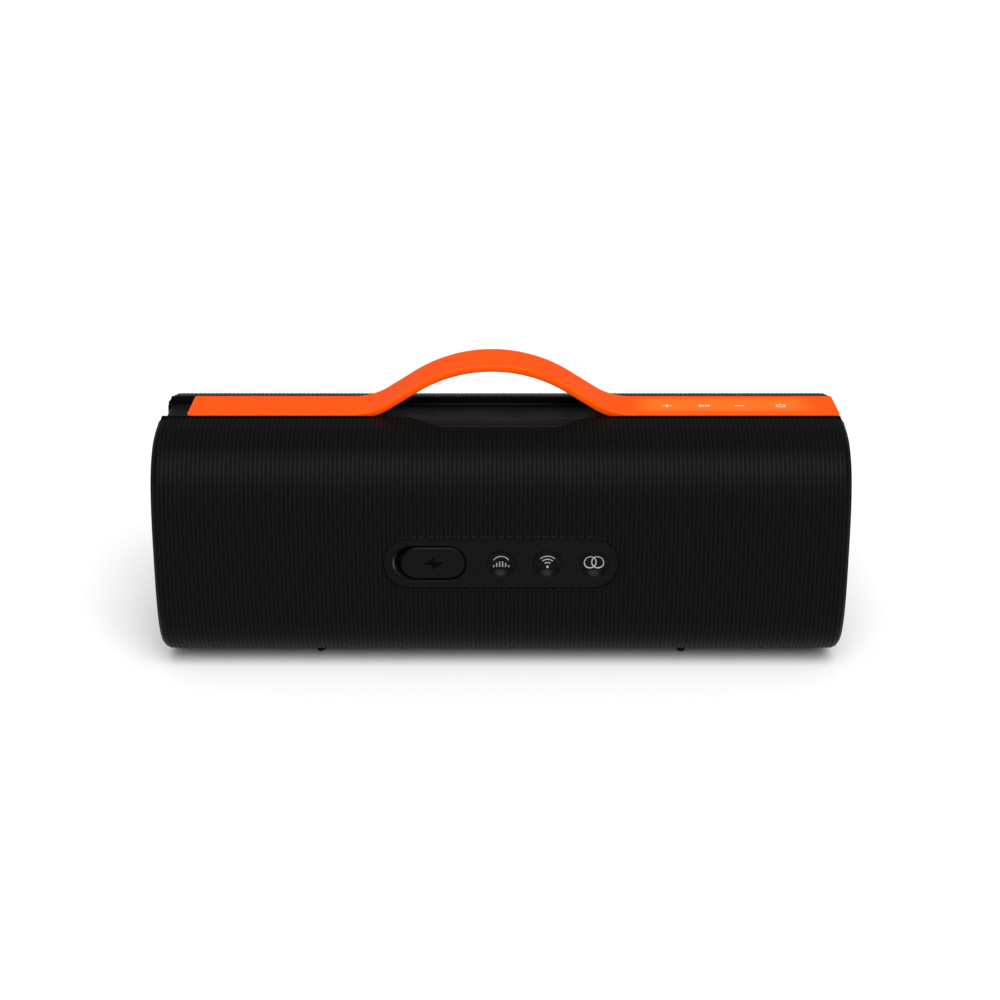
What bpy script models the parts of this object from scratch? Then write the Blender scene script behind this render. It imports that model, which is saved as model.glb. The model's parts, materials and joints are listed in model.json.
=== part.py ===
"""Portable speaker with a pull-up strap handle, modelled as separate sub-parts.

Units are metres, +Z is up and the length runs along X. The listener's side is +Y, and the
control panel is on the -Y side. Every sub-part is placed from the centre of the body, by
parenting to an empty there, and the feet stand on Z = 0.
"""
import math

import bmesh
import bpy
from mathutils import Matrix, Vector

# Driving dimensions of the body.
FOOT_HEIGHT = 0.002
BODY_HALF_LENGTH = 0.140
BODY_HALF_DEPTH = 0.046
BODY_HALF_HEIGHT = 0.050
EDGE_ROUND = 0.0042
SECTION_POWER = 3.0
SECTION_POINTS = 36
GAP = 0.0003
SOFT_EDGE = 0.0003
FABRIC_THICKNESS = 0.0008
SHELL_INSET = FABRIC_THICKNESS + GAP
SHELL_WALL = 0.0026
SHELL_HALF_LENGTH = 0.1277
PAST = 0.004

# Strap handle: centre line of the arch, as a top arc, a straight flank and a base arc.
STRAP_HALF_WIDTH = 0.013
STRAP_THICKNESS = 0.0036
STRAP_BOTTOM = 0.0470
STRAP_AXIS_Z = STRAP_BOTTOM + STRAP_THICKNESS / 2
STRAP_END = 0.1387
STRAP_LEFT_END = -0.1285
ARCH_CENTRE = -0.0038
ARCH_TOP_RADIUS = 0.0572
ARCH_BASE_RADIUS = 0.0258
ARCH_FLANK = 0.0147
ARCH_SLOPE = math.radians(32.5)
LINK_STEP = ARCH_SLOPE / 2
LINK_SLOPES = (1, 2, 1, 0, -1, -2, -1)
LINK_END_GAP = 0.00055

# Tray that carries the strap.
CHANNEL_HALF_WIDTH = 0.0133
CHANNEL_FLOOR = 0.0467
TRAY_HALF_WIDTH = 0.0150
TRAY_BOTTOM = 0.0430
TRAY_FLANGE_HALF_WIDTH = 0.0180
TRAY_FLANGE_TOP = 0.0445
TRAY_FLANGE_HALF_LENGTH = 0.1270
RUNNER_SLOT_X = -0.0968
RUNNER_SLOT_SIZE = (0.0190, 0.0046)
RUNNER_X = (-0.0948, -0.0892)
RUNNER_HALF_WIDTH = 0.0020
RUNNER_TOP = 0.0487
RUNNER_FOOT_LOW = (-0.0980, -0.0060, 0.0412)
RUNNER_FOOT_HIGH = (-0.0860, 0.0060, 0.0427)
APRON_HALF_FLAT = 0.0250
APRON_HALF_LENGTH = 0.0420
APRON_EDGE = -0.0227
APRON_OVERLAP = 0.0020
RIM_STEP = 0.0001

# Keys in the strap.
KEY_PLACES = {
    "key_volume_up": 0.0687,
    "key_play": 0.0840,
    "key_volume_down": 0.0989,
    "key_power": 0.1159,
}
KEY_HALF = 0.0058
KEY_TOP = 0.0504
KEY_BOTTOM = 0.0489
KEY_BOARD_ENDS = (0.0610, 0.1235)
KEY_BOARD_HALF_WIDTH = 0.0070
KEY_BOARD_LOW = 0.0472
KEY_BOARD_HIGH = 0.0480
KEY_DOME_RADIUS = 0.0020
KEY_DOME_RISE = 0.0002
KEY_PAD_HALF_WIDTH = 0.0090
KEY_PAD_ENDS = (0.0588, 0.1246)
KEY_PAD_DEPTH = 0.0003

# Rear panel, with the charging port and the three buttons.
PANEL_Z = -0.0015
PANEL_LENGTH = 0.0948
PANEL_HEIGHT = 0.0216
PANEL_FACE = -0.0455
PANEL_BACK = -0.0375
PANEL_FLANGE_REACH = 0.0025
PANEL_FLANGE_Y = -0.0390
PANEL_FLANGE_HALF = 0.0010
GASKET_Y = -0.0410
GASKET_HALF = 0.0005
POCKET_CENTRE_X = -0.0285
POCKET_LENGTH = 0.0306
POCKET_HEIGHT = 0.0147
POCKET_FLOOR = -0.0389
FLAP_LEFT = -0.0407
FLAP_RIGHT = -0.0140
FLAP_HEIGHT = 0.0139
FLAP_FACE = -0.0453
FLAP_THICKNESS = 0.0020
FLAP_AXIS = (-0.0142, -0.0451)
BUTTON_PLACES = {"button_bass": 0.0, "button_pairing": 0.0187, "button_link": 0.0374}
BUTTON_RADIUS = 0.0057
BUTTON_FACE = -0.0452
BUTTON_END = -0.0378
BUTTON_STEM_RADIUS = 0.0022
BUTTON_DISH_RADIUS = 0.0050
BUTTON_DISH_DEPTH = 0.0009
SOCKET_BACK = -0.0316
SOCKET_SIZE = (0.0090, 0.0032)
SOCKET_WALL = 0.00035

# Feet, radiators and drivers.
FOOT_X = 0.0760
FOOT_HALF_WIDTH = 0.0016
FOOT_HALF_LENGTH = 0.0200
RING_START = 0.1280
RING_LEDGE = 0.1322
RADIATOR_SEAT_RADIUS = 0.0355
RADIATOR_BORE_RADIUS = 0.0330
RADIATOR_BASE = 0.1325
RADIATOR_ROLL = (0.0250, 0.0352)
RADIATOR_DISC_RADIUS = 0.0247
DRIVER_X = 0.0620
DRIVER_SEAT = 0.0328
DRIVER_HOLE_RADIUS = 0.0295
DRIVER_BASKET_RADIUS = 0.0330
DRIVER_ROLL = (0.0212, 0.0283)
DRIVER_CONE_RADIUS = 0.0209
DRIVER_MAGNET_RADIUS = 0.0225
BAFFLE_LOW = 0.0302
BAFFLE_HIGH = 0.0325
BAFFLE_HALF_SIZE = (0.118, 0.036)

# Screws: shank and head radius, then the tip, the seat under the head and the end of the head.
SCREW_X = 0.1040
SCREW_Z = 0.0280
BOSS_RADIUS = 0.0045
BOSS_REACH = 0.0395
CASE_SCREW = (0.0014, 0.0028, 0.0140, -0.0280, -0.0300)
CASE_SCREW_ACCESS = -0.0500
STRAP_SCREWS = (0.0550, 0.1330)
STRAP_SCREW = (0.0010, 0.0020, 0.0488, 0.0444, 0.0432)
STRAP_SCREW_ACCESS = 0.0400

# Battery.
CELL_RADIUS = 0.0092
CELL_HALF_LENGTH = 0.0325
CELL_Y = 0.0105
CELL_Z = -0.0250
LEAD_RADIUS = 0.0008

FINISHES = {
    "black_plastic": ((0.012, 0.012, 0.013, 1), 0.45, 0.0),
    "black_fabric": ((0.010, 0.010, 0.011, 1), 0.90, 0.0),
    "orange_silicone": ((1.0, 0.105, 0.012, 1), 0.50, 0.0),
    "black_rubber": ((0.015, 0.015, 0.015, 1), 0.70, 0.0),
    "satin_aluminium": ((0.10, 0.10, 0.11, 1), 0.35, 1.0),
    "board_green": ((0.01, 0.08, 0.04, 1), 0.50, 0.0),
    "plated_steel": ((0.45, 0.45, 0.46, 1), 0.30, 1.0),
    "ferrite": ((0.05, 0.05, 0.055, 1), 0.60, 0.0),
    "paper_cone": ((0.03, 0.03, 0.03, 1), 0.85, 0.0),
    "cell_wrap": ((0.02, 0.14, 0.35, 1), 0.40, 0.0),
    "wire_red": ((0.45, 0.02, 0.01, 1), 0.50, 0.0),
}

ALONG_X = (math.pi / 2, 0, math.pi / 2)
ALONG_Y = (math.pi / 2, 0, 0)
ALONG_Z = (0, 0, 0)
FACING_X = (0, math.pi / 2, 0)
FACING_MINUS_X = (0, -math.pi / 2, 0)
FACING_Y = (-math.pi / 2, 0, 0)


def clear_scene():
    for item in list(bpy.data.objects):
        bpy.data.objects.remove(item, do_unlink=True)


def new_collection(name):
    collection = bpy.data.collections.new(name)
    bpy.context.scene.collection.children.link(collection)
    return collection


clear_scene()
PARTS = new_collection("bluetooth_speaker")
CUTTERS = new_collection("cutters")
BODY_CENTRE = bpy.data.objects.new("body_centre", None)
BODY_CENTRE.location = (0, 0, FOOT_HEIGHT + BODY_HALF_HEIGHT)
PARTS.objects.link(BODY_CENTRE)


# ---------------------------------------------------------------- helpers

def finish(part, kind):
    colour, roughness, metallic = FINISHES[kind]
    material = bpy.data.materials.new(f"{part.name}_{kind}")
    material.use_nodes = True
    shader = material.node_tree.nodes["Principled BSDF"]
    shader.inputs["Base Color"].default_value = colour
    shader.inputs["Roughness"].default_value = roughness
    shader.inputs["Metallic"].default_value = metallic
    part.data.materials.clear()
    part.data.materials.append(material)


def new_object(name, shape, kind, location=(0, 0, 0), rotation=(0, 0, 0)):
    """A part when it has a finish, otherwise a cutter."""
    item = bpy.data.objects.new(name, shape)
    item.location = location
    item.rotation_euler = rotation
    item.parent = BODY_CENTRE
    if kind:
        PARTS.objects.link(item)
        finish(item, kind)
    else:
        CUTTERS.objects.link(item)
        item.hide_render = True
        item.display_type = "WIRE"
    return item


def smooth(part, degrees=35):
    part.data.shade_smooth()
    part.data.set_sharp_from_angle(angle=math.radians(degrees))
    return part


def boolean(part, tool, operation):
    modifier = part.modifiers.new(f"{operation.lower()}_{tool.name}", "BOOLEAN")
    modifier.object = tool
    modifier.operation = operation
    modifier.solver = "EXACT"
    return part


def cut(part, *tools):
    for tool in tools:
        boolean(part, tool, "DIFFERENCE")
    return part


def add(part, *tools):
    for tool in tools:
        boolean(part, tool, "UNION")
    return part


def keep_inside(part, tool):
    return boolean(part, tool, "INTERSECT")


def mesh_from_bmesh(name, shape):
    mesh = bpy.data.meshes.new(name)
    shape.to_mesh(mesh)
    shape.free()
    return mesh


def box(name, low, high, kind=None, origin=None):
    """Box between two corners; its origin is its centre unless one is given."""
    low = Vector(low)
    high = Vector(high)
    centre = (low + high) / 2
    origin = centre if origin is None else Vector(origin)
    shape = bmesh.new()
    size = Matrix.Diagonal((*(high - low), 1))
    bmesh.ops.create_cube(shape, size=1, matrix=Matrix.Translation(centre - origin) @ size)
    return new_object(name, mesh_from_bmesh(name, shape), kind, origin)


def cylinder(name, radius, start, end, kind=None, rotation=ALONG_Z, centre=(0, 0, 0), sides=32):
    """Cylinder from start to end along the local Z of the rotation, about centre."""
    shape = bmesh.new()
    bmesh.ops.create_cone(
        shape,
        cap_ends=True,
        segments=sides,
        radius1=radius,
        radius2=radius,
        depth=end - start,
        matrix=Matrix.Translation((0, 0, (start + end) / 2)),
    )
    item = new_object(name, mesh_from_bmesh(name, shape), kind, centre, rotation)
    return smooth(item)


def turned(name, profile, kind, centre=(0, 0, 0), rotation=ALONG_Z, ring=False, sides=48):
    """Turned solid: profile points are (radius, height), down the outer side."""
    mesh = bpy.data.meshes.new(name)
    points = [(radius, 0, height) for radius, height in profile]
    edges = [(i, i + 1) for i in range(len(points) - 1)]
    if ring:
        edges.append((len(points) - 1, 0))
    mesh.from_pydata(points, edges, [])
    item = new_object(name, mesh, kind, centre, rotation)
    screw = item.modifiers.new("turned", "SCREW")
    screw.steps = sides
    screw.render_steps = sides
    screw.use_merge_vertices = True
    screw.merge_threshold = 0.00001
    screw.use_smooth_shade = True
    return item


def outline_solid(
    name, outline, half, kind=None, turn=ALONG_Z, centre=(0, 0, 0), edge=0.0, steps=0
):
    """Flat outline thickened to half on each side; edge rounds it and grows the outline."""
    curve = bpy.data.curves.new(name, "CURVE")
    curve.dimensions = "2D"
    curve.fill_mode = "BOTH"
    curve.extrude = half - edge
    curve.bevel_depth = edge
    curve.bevel_resolution = steps
    spline = curve.splines.new("POLY")
    spline.points.add(len(outline) - 1)
    for point, (across, up) in zip(spline.points, outline):
        point.co = (across, up, 0, 1)
    spline.use_cyclic_u = True
    source = bpy.data.objects.new(name + "_curve", curve)
    CUTTERS.objects.link(source)
    depsgraph = bpy.context.evaluated_depsgraph_get()
    mesh = bpy.data.meshes.new_from_object(source.evaluated_get(depsgraph))
    bpy.data.objects.remove(source, do_unlink=True)
    shape = bmesh.new()
    shape.from_mesh(mesh)
    bmesh.ops.remove_doubles(shape, verts=shape.verts, dist=0.000002)
    bmesh.ops.recalc_face_normals(shape, faces=shape.faces)
    shape.to_mesh(mesh)
    shape.free()
    mesh.name = name
    return smooth(new_object(name, mesh, kind, centre, turn))


def move_origin(part, point):
    """Put the part's origin at a point without moving its shape."""
    point = Vector(point)
    turn = part.rotation_euler.to_matrix().to_4x4()
    placed = Matrix.Translation(part.location) @ turn
    part.data.transform(Matrix.Translation(-point) @ placed)
    part.location = point
    part.rotation_euler = (0, 0, 0)
    return part


def wire(name, route, radius, kind):
    """Round wire through points, eased by a Catmull-Rom curve."""
    points = smooth_route(route, 3)
    curve = bpy.data.curves.new(name, "CURVE")
    curve.dimensions = "3D"
    curve.bevel_depth = radius
    curve.bevel_resolution = 1
    curve.use_fill_caps = True
    spline = curve.splines.new("POLY")
    spline.points.add(len(points) - 1)
    for point, place in zip(spline.points, points):
        point.co = (*place, 1)
    return new_object(name, curve, kind)


def smooth_route(route, steps):
    points = [Vector(p) for p in route]
    padded = [2 * points[0] - points[1]] + points + [2 * points[-1] - points[-2]]
    smooth_points = []
    for before, start, end, after in zip(padded, padded[1:], padded[2:], padded[3:]):
        for i in range(steps):
            t = i / steps
            place = 0.5 * (
                2 * start
                + (end - before) * t
                + (2 * before - 5 * start + 4 * end - after) * t * t
                + (3 * start - before - 3 * end + after) * t ** 3
            )
            smooth_points.append(place)
    smooth_points.append(points[-1])
    return smooth_points


def superellipse(half_depth, half_height):
    """Closed outline of the body's section, with (Y, Z) points."""
    points = []
    for i in range(SECTION_POINTS):
        angle = 2 * math.pi * (i + 0.5) / SECTION_POINTS
        across = math.cos(angle)
        up = math.sin(angle)
        y = half_depth * math.copysign(abs(across) ** (2 / SECTION_POWER), across)
        z = half_height * math.copysign(abs(up) ** (2 / SECTION_POWER), up)
        points.append((y, z))
    return points


def pill(length, height, steps=7):
    """Outline of a slot with round ends, centred on the origin."""
    radius = height / 2
    reach = length / 2 - radius
    points = []
    for side in (1, -1):
        for i in range(steps + 1):
            angle = math.pi * (i / steps - 0.5)
            x = side * (reach + radius * math.cos(angle))
            points.append((x, side * radius * math.sin(angle)))
    return points


def rounded_rectangle(half_width, half_height, radius, steps=4):
    points = []
    for quarter in range(4):
        sign_x = 1 if quarter in (0, 3) else -1
        sign_y = 1 if quarter in (0, 1) else -1
        for i in range(steps + 1):
            angle = math.pi / 2 * (quarter + i / steps)
            x = sign_x * (half_width - radius) + radius * math.cos(angle)
            y = sign_y * (half_height - radius) + radius * math.sin(angle)
            points.append((x, y))
    return points


def fastener(name, sizes, kind=None, centre=(0, 0, 0), rotation=ALONG_Z, grow=0.0):
    """Screw, or with grow the hole that clears it, along the local Z of the rotation."""
    shank, head, tip, seat, end = sizes
    profile = [
        (0, tip + grow),
        (shank + grow, tip + grow),
        (shank + grow, seat + grow),
        (head + grow, seat + grow),
        (head + grow, end),
        (0, end),
    ]
    return turned(name, profile, kind, centre, rotation, sides=12)


def body_prism(name, inset, half_length, kind=None, steps=2):
    """The body's rounded outer form, set in by inset all round."""
    core = superellipse(BODY_HALF_DEPTH - EDGE_ROUND, BODY_HALF_HEIGHT - EDGE_ROUND)
    round_edge = EDGE_ROUND - inset
    return outline_solid(name, core, half_length, kind, ALONG_X, (0, 0, 0), round_edge, steps)


def section_prism(name, inset, half_length, kind=None, x=0.0, edge=0.0):
    """Straight prism of the section set in further than the edge rounding."""
    shrink = inset + edge
    outline = superellipse(BODY_HALF_DEPTH - shrink, BODY_HALF_HEIGHT - shrink)
    return outline_solid(name, outline, half_length, kind, ALONG_X, (x, 0, 0), edge)


# ---------------------------------------------------------------- shells and cloth

def slot_cutter(name, half_width, bottom):
    """Cutter for the open slot along the top of the body."""
    reach = BODY_HALF_LENGTH + PAST
    return box(name, (-reach, -half_width, bottom), (reach, half_width, BODY_HALF_HEIGHT + PAST))


def foot_slot_cutter(name, x):
    outline = pill(2 * (FOOT_HALF_LENGTH + GAP), 2 * (FOOT_HALF_WIDTH + GAP), 5)
    middle = -BODY_HALF_HEIGHT
    return outline_solid(name, outline, PAST, None, (0, 0, math.pi / 2), (x, 0, middle))


def grille_slots(name, x):
    """Group of sound slots through the front wall, one above another."""
    shape = bmesh.new()
    slots = bpy.data.meshes.new(name)
    for row in range(-1, 2):
        length = 0.054 - 0.008 * abs(row)
        outline = pill(length, 0.008, 3)
        tool = outline_solid(f"{name}_{row}", outline, 0.010, None, ALONG_Y)
        turn = Matrix.Translation((x, 0.041, 0.0150 * row)) @ Matrix.Rotation(math.pi / 2, 4, "X")
        tool.data.transform(turn)
        shape.from_mesh(tool.data)
        bpy.data.objects.remove(tool, do_unlink=True)
    shape.to_mesh(slots)
    shape.free()
    return new_object(name, slots, None)


def baffle(name):
    """Inner wall that the drivers are screwed to."""
    outline = rounded_rectangle(*BAFFLE_HALF_SIZE, 0.006)
    half = (BAFFLE_HIGH - BAFFLE_LOW) / 2
    return outline_solid(name, outline, half, None, ALONG_Y, (0, BAFFLE_LOW + half, 0))


def shell(name, side):
    """Half of the case: side -1 is the rear and 1 is the front."""
    part = body_prism(name, SHELL_INSET, BODY_HALF_LENGTH, "black_plastic", 0)
    tall = BODY_HALF_HEIGHT + PAST
    wall = SHELL_INSET + SHELL_WALL
    inner = body_prism(f"{name}_inside", wall, BODY_HALF_LENGTH + PAST, None, 0)
    near, far = (GAP / 2, tall) if side > 0 else (-tall, -GAP / 2)
    half = box(f"{name}_half", (-SHELL_HALF_LENGTH, near, -tall), (SHELL_HALF_LENGTH, far, tall))
    cut(part, inner)
    keep_inside(part, half)
    start, end = (GAP / 2, BOSS_REACH) if side > 0 else (-BOSS_REACH, -GAP / 2)
    for number, (x, z) in enumerate(screw_places(), 1):
        place = (x, 0, z)
        add(part, cylinder(f"{name}_boss_{number}", BOSS_RADIUS, start, end, None, FACING_Y, place, 12))
    if side > 0:
        add(part, baffle(f"{name}_baffle"))
        for number, x in enumerate((-DRIVER_X, DRIVER_X), 1):
            centre = (x, 0, 0)
            hole_name = f"{name}_driver_hole_{number}"
            low = BAFFLE_LOW - 0.002
            high = BAFFLE_HIGH + 0.002
            hole = cylinder(hole_name, DRIVER_HOLE_RADIUS, low, high, None, FACING_Y, centre, 20)
            cut(part, hole, grille_slots(f"{name}_sound_slots_{number}", x))
    cut(part, slot_cutter(f"{name}_top_slot", TRAY_HALF_WIDTH + GAP, 0.040))
    hole_sizes = (*CASE_SCREW[:-1], CASE_SCREW_ACCESS)
    for number, (x, z) in enumerate(screw_places(), 1):
        cut(part, fastener(f"{name}_screw_hole_{number}", hole_sizes, None, (x, 0, z), FACING_Y, GAP))
    for x in (-FOOT_X, FOOT_X):
        cut(part, foot_slot_cutter(f"{name}_foot_slot_{x:.3f}", x))
    if side < 0:
        outline = pill(PANEL_LENGTH + 2 * GAP, PANEL_HEIGHT + 2 * GAP)
        window = outline_solid(f"{name}_window", outline, 0.006, None, ALONG_Y, (0, -0.044, PANEL_Z))
        cut(part, window)
    return part


def screw_places():
    return [(x, z) for x in (-SCREW_X, SCREW_X) for z in (-SCREW_Z, SCREW_Z)]


def apron_depth(x):
    """How far the tray's apron reaches towards -Y at a distance x from the arch's centre."""
    run = APRON_HALF_LENGTH - APRON_HALF_FLAT
    t = min(max((APRON_HALF_LENGTH - abs(x)) / run, 0), 1)
    ease = t * t * (3 - 2 * t)
    start = -CHANNEL_HALF_WIDTH - GAP
    return start + (APRON_EDGE - start) * ease


def apron_outline(grow=0.0):
    """Plan of the apron: straight along the tray and eased at both ends."""
    reach = APRON_HALF_LENGTH + grow
    inner = -CHANNEL_HALF_WIDTH + APRON_OVERLAP
    steps = 24
    edge = []
    for i in range(steps + 1):
        x = -reach + 2 * reach * i / steps
        edge.append((ARCH_CENTRE + x, apron_depth(x * APRON_HALF_LENGTH / reach) - grow))
    return edge + [(ARCH_CENTRE + reach, inner), (ARCH_CENTRE - reach, inner)]


def fabric_sleeve():
    """Cloth sleeve round the body, open along the top slot and rolled in at both ends."""
    part = body_prism("fabric_sleeve", 0, BODY_HALF_LENGTH, "black_fabric")
    inside = BODY_HALF_LENGTH - FABRIC_THICKNESS
    inner = body_prism("sleeve_inside", FABRIC_THICKNESS, inside, None, 1)
    ends = section_prism("sleeve_end_openings", 0.0055, BODY_HALF_LENGTH + PAST)
    outline = apron_outline(GAP)
    apron = outline_solid("sleeve_apron", outline, 0.006, None, ALONG_Z, (0, 0, BODY_HALF_HEIGHT))
    window = pill(PANEL_LENGTH + 2 * GAP, PANEL_HEIGHT + 2 * GAP)
    panel = outline_solid("sleeve_window", window, PAST, None, ALONG_Y, (0, -BODY_HALF_DEPTH, PANEL_Z))
    slot = slot_cutter("sleeve_top_slot", CHANNEL_HALF_WIDTH, 0.031)
    cut(part, slot, inner, ends, apron, panel)
    for x in (-FOOT_X, FOOT_X):
        cut(part, foot_slot_cutter(f"sleeve_foot_slot_{x:.3f}", x))
    return part


def end_ring(name, side):
    """Frame that closes one end, carries the radiator and forms the rolled cloth edge."""
    part = body_prism(name, SHELL_INSET, BODY_HALF_LENGTH - SHELL_INSET, "black_plastic", 1)
    reach = BODY_HALF_LENGTH + PAST
    tall = BODY_HALF_HEIGHT + PAST
    near, far = (RING_START, reach) if side > 0 else (-reach, -RING_START)
    end = box(f"{name}_end", (near, -tall, -tall), (far, tall, tall))
    facing = FACING_X if side > 0 else FACING_MINUS_X
    lip = section_prism(f"{name}_lip", 0.0058, 0.0016, None, side * 0.1381, 0.0005)
    seat = cylinder(f"{name}_seat", RADIATOR_SEAT_RADIUS, RING_LEDGE, reach, None, facing, sides=28)
    bore = cylinder(f"{name}_bore", RADIATOR_BORE_RADIUS, 0.120, reach, None, facing, sides=28)
    keep_inside(part, end)
    add(part, lip)
    cut(part, seat, bore, slot_cutter(f"{name}_notch", TRAY_HALF_WIDTH + GAP, TRAY_BOTTOM - GAP))
    return part


def foot(name, x):
    outline = pill(2 * FOOT_HALF_LENGTH - 0.0012, 2 * FOOT_HALF_WIDTH - 0.0012, 5)
    low = -BODY_HALF_HEIGHT - FOOT_HEIGHT
    high = -0.0466
    turn = (0, 0, math.pi / 2)
    middle = (x, 0, (low + high) / 2)
    return outline_solid(name, outline, (high - low) / 2, "black_rubber", turn, middle, 0.0006)


# ---------------------------------------------------------------- tray and handle

def tray_apron(reach):
    """Lobe beside the arch, level with the cloth, over the stretch of rim that carries it."""
    top = BODY_HALF_HEIGHT
    apron = body_prism("tray_apron", 0, BODY_HALF_LENGTH)
    inside = body_prism("tray_apron_inside", FABRIC_THICKNESS, reach, None, 0)
    low = (-APRON_HALF_LENGTH * 2, -TRAY_HALF_WIDTH + RIM_STEP, TRAY_BOTTOM)
    high = (APRON_HALF_LENGTH * 2, 0, top + PAST)
    cut(inside, box("tray_apron_rim", low, high))
    cut(apron, inside)
    plan = outline_solid("tray_apron_plan", apron_outline(), 0.006, None, ALONG_Z, (0, 0, top))
    return keep_inside(apron, plan)


def top_tray():
    """Channel that the strap lies in, rimmed under the cloth, with an apron beside the arch."""
    reach = BODY_HALF_LENGTH + PAST
    low = (-reach, -TRAY_HALF_WIDTH, TRAY_BOTTOM)
    high = (reach, TRAY_HALF_WIDTH, BODY_HALF_HEIGHT + PAST)
    part = box("top_tray", low, high, "black_plastic")
    end = BODY_HALF_LENGTH - SHELL_INSET
    keep_inside(part, body_prism("tray_form", SHELL_INSET, end, None, 1))
    flange_low = (-TRAY_FLANGE_HALF_LENGTH, -TRAY_FLANGE_HALF_WIDTH, TRAY_BOTTOM)
    flange_high = (TRAY_FLANGE_HALF_LENGTH, TRAY_FLANGE_HALF_WIDTH, TRAY_FLANGE_TOP)
    add(part, box("tray_flange", flange_low, flange_high), tray_apron(reach))
    slot = pill(*RUNNER_SLOT_SIZE, 5)
    middle = (RUNNER_SLOT_X, 0, (TRAY_BOTTOM + CHANNEL_FLOOR) / 2)
    runner_slot = outline_solid("tray_runner_slot", slot, 0.006, None, ALONG_Z, middle)
    cut(part, slot_cutter("tray_channel", CHANNEL_HALF_WIDTH, CHANNEL_FLOOR), runner_slot)
    hole_sizes = (*STRAP_SCREW[:-1], STRAP_SCREW_ACCESS)
    for number, x in enumerate(STRAP_SCREWS, 1):
        cut(part, fastener(f"tray_screw_hole_{number}", hole_sizes, None, (x, 0, 0), ALONG_Z, GAP))
    return part


def arch_hinges():
    """Hinges of the strap from right to left, as (X, Z): where tangents at the stations meet."""
    half = math.tan(LINK_STEP / 2)
    slant = 1 / math.cos(LINK_STEP / 2)
    sine = math.sin(ARCH_SLOPE)
    half_span = (ARCH_TOP_RADIUS + ARCH_BASE_RADIUS) * sine + ARCH_FLANK * math.cos(ARCH_SLOPE)
    turn = LINK_STEP * 1.5
    drop = (ARCH_TOP_RADIUS + ARCH_BASE_RADIUS) * (1 - math.cos(ARCH_SLOPE))
    rise = drop + ARCH_FLANK * sine
    low = STRAP_AXIS_Z
    high = STRAP_AXIS_Z + rise
    base_reach = ARCH_BASE_RADIUS * slant
    top_reach = ARCH_TOP_RADIUS * slant
    right = [
        (half_span - ARCH_BASE_RADIUS * half, low),
        (half_span - base_reach * math.sin(turn), low + ARCH_BASE_RADIUS - base_reach * math.cos(turn)),
        (top_reach * math.sin(turn), high - ARCH_TOP_RADIUS + top_reach * math.cos(turn)),
        (ARCH_TOP_RADIUS * half, high),
    ]
    left = [(-x, z) for x, z in reversed(right)]
    return [(ARCH_CENTRE + x, z) for x, z in right + left]


def strap_bar(name, length, origin, slope, start=0.0):
    """Straight stretch of strap that runs from start towards -X, about a hinge at its origin."""
    part = outline_solid(
        name,
        rounded_rectangle(STRAP_HALF_WIDTH, STRAP_THICKNESS / 2, 0.0008, 2),
        length / 2,
        "orange_silicone",
        ALONG_X,
        (-start - length / 2, 0, 0),
    )
    move_origin(part, (0, 0, 0))
    part.location = origin
    part.rotation_euler = (0, slope, 0)
    return part


def strap_links(hinges):
    for number, multiple in enumerate(LINK_SLOPES, 1):
        start = Vector((hinges[number - 1][0], 0, hinges[number - 1][1]))
        end = Vector((hinges[number][0], 0, hinges[number][1]))
        length = (end - start).length - 2 * LINK_END_GAP
        strap_bar(f"strap_link_{number}", length, start, multiple * LINK_STEP, LINK_END_GAP)


def strap_left(hinges):
    x, z = hinges[-1]
    length = x - LINK_END_GAP - STRAP_LEFT_END
    part = strap_bar("strap_left", length, (x, 0, z), 0, LINK_END_GAP)
    across = RUNNER_HALF_WIDTH + GAP
    low = (RUNNER_X[0] - GAP, -across, STRAP_BOTTOM - 0.001)
    high = (RUNNER_X[1] + GAP, across, RUNNER_TOP + GAP)
    return cut(part, box("strap_left_pocket", low, high))


def strap_runner(hinges):
    """Tee-shaped runner that keeps the sliding end of the strap in the tray."""
    x, z = hinges[-1]
    low = (RUNNER_X[0], -RUNNER_HALF_WIDTH, RUNNER_FOOT_HIGH[2] - GAP)
    high = (RUNNER_X[1], RUNNER_HALF_WIDTH, RUNNER_TOP)
    part = box("strap_runner", low, high, "black_plastic", (x, 0, z))
    return add(part, box("runner_foot", RUNNER_FOOT_LOW, RUNNER_FOOT_HIGH))


def strap_right(hinges):
    """Fixed end of the strap, with windows for the keys and a pocket for their board."""
    start = hinges[0][0] + LINK_END_GAP
    part = strap_bar("strap_right", STRAP_END - start, (STRAP_END, 0, STRAP_AXIS_Z), 0)
    pad_length = KEY_PAD_ENDS[1] - KEY_PAD_ENDS[0]
    pad_middle = (KEY_PAD_ENDS[0] + KEY_PAD_ENDS[1]) / 2
    top = STRAP_BOTTOM + STRAP_THICKNESS
    pad = outline_solid(
        "key_pad",
        pill(pad_length, 2 * KEY_PAD_HALF_WIDTH),
        PAST / 2,
        None,
        ALONG_Z,
        (pad_middle, 0, top - KEY_PAD_DEPTH + PAST / 2),
    )
    room = 2 * GAP
    low = (KEY_BOARD_ENDS[0] - room, -KEY_BOARD_HALF_WIDTH - room, STRAP_BOTTOM - 0.001)
    high = (KEY_BOARD_ENDS[1] + room, KEY_BOARD_HALF_WIDTH + room, KEY_BOARD_HIGH + GAP)
    cut(part, pad, box("key_board_pocket", low, high))
    for name, x in KEY_PLACES.items():
        window = rounded_rectangle(KEY_HALF + GAP, KEY_HALF + GAP, 0.0020 + GAP)
        middle = (x, 0, (KEY_TOP + KEY_BOTTOM) / 2)
        cut(part, outline_solid(f"{name}_window", window, PAST, None, ALONG_Z, middle))
    hole_sizes = (*STRAP_SCREW[:-1], STRAP_SCREW_ACCESS)
    for number, x in enumerate(STRAP_SCREWS, 1):
        cut(part, fastener(f"strap_screw_socket_{number}", hole_sizes, None, (x, 0, 0), ALONG_Z, GAP))
    return part


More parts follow.
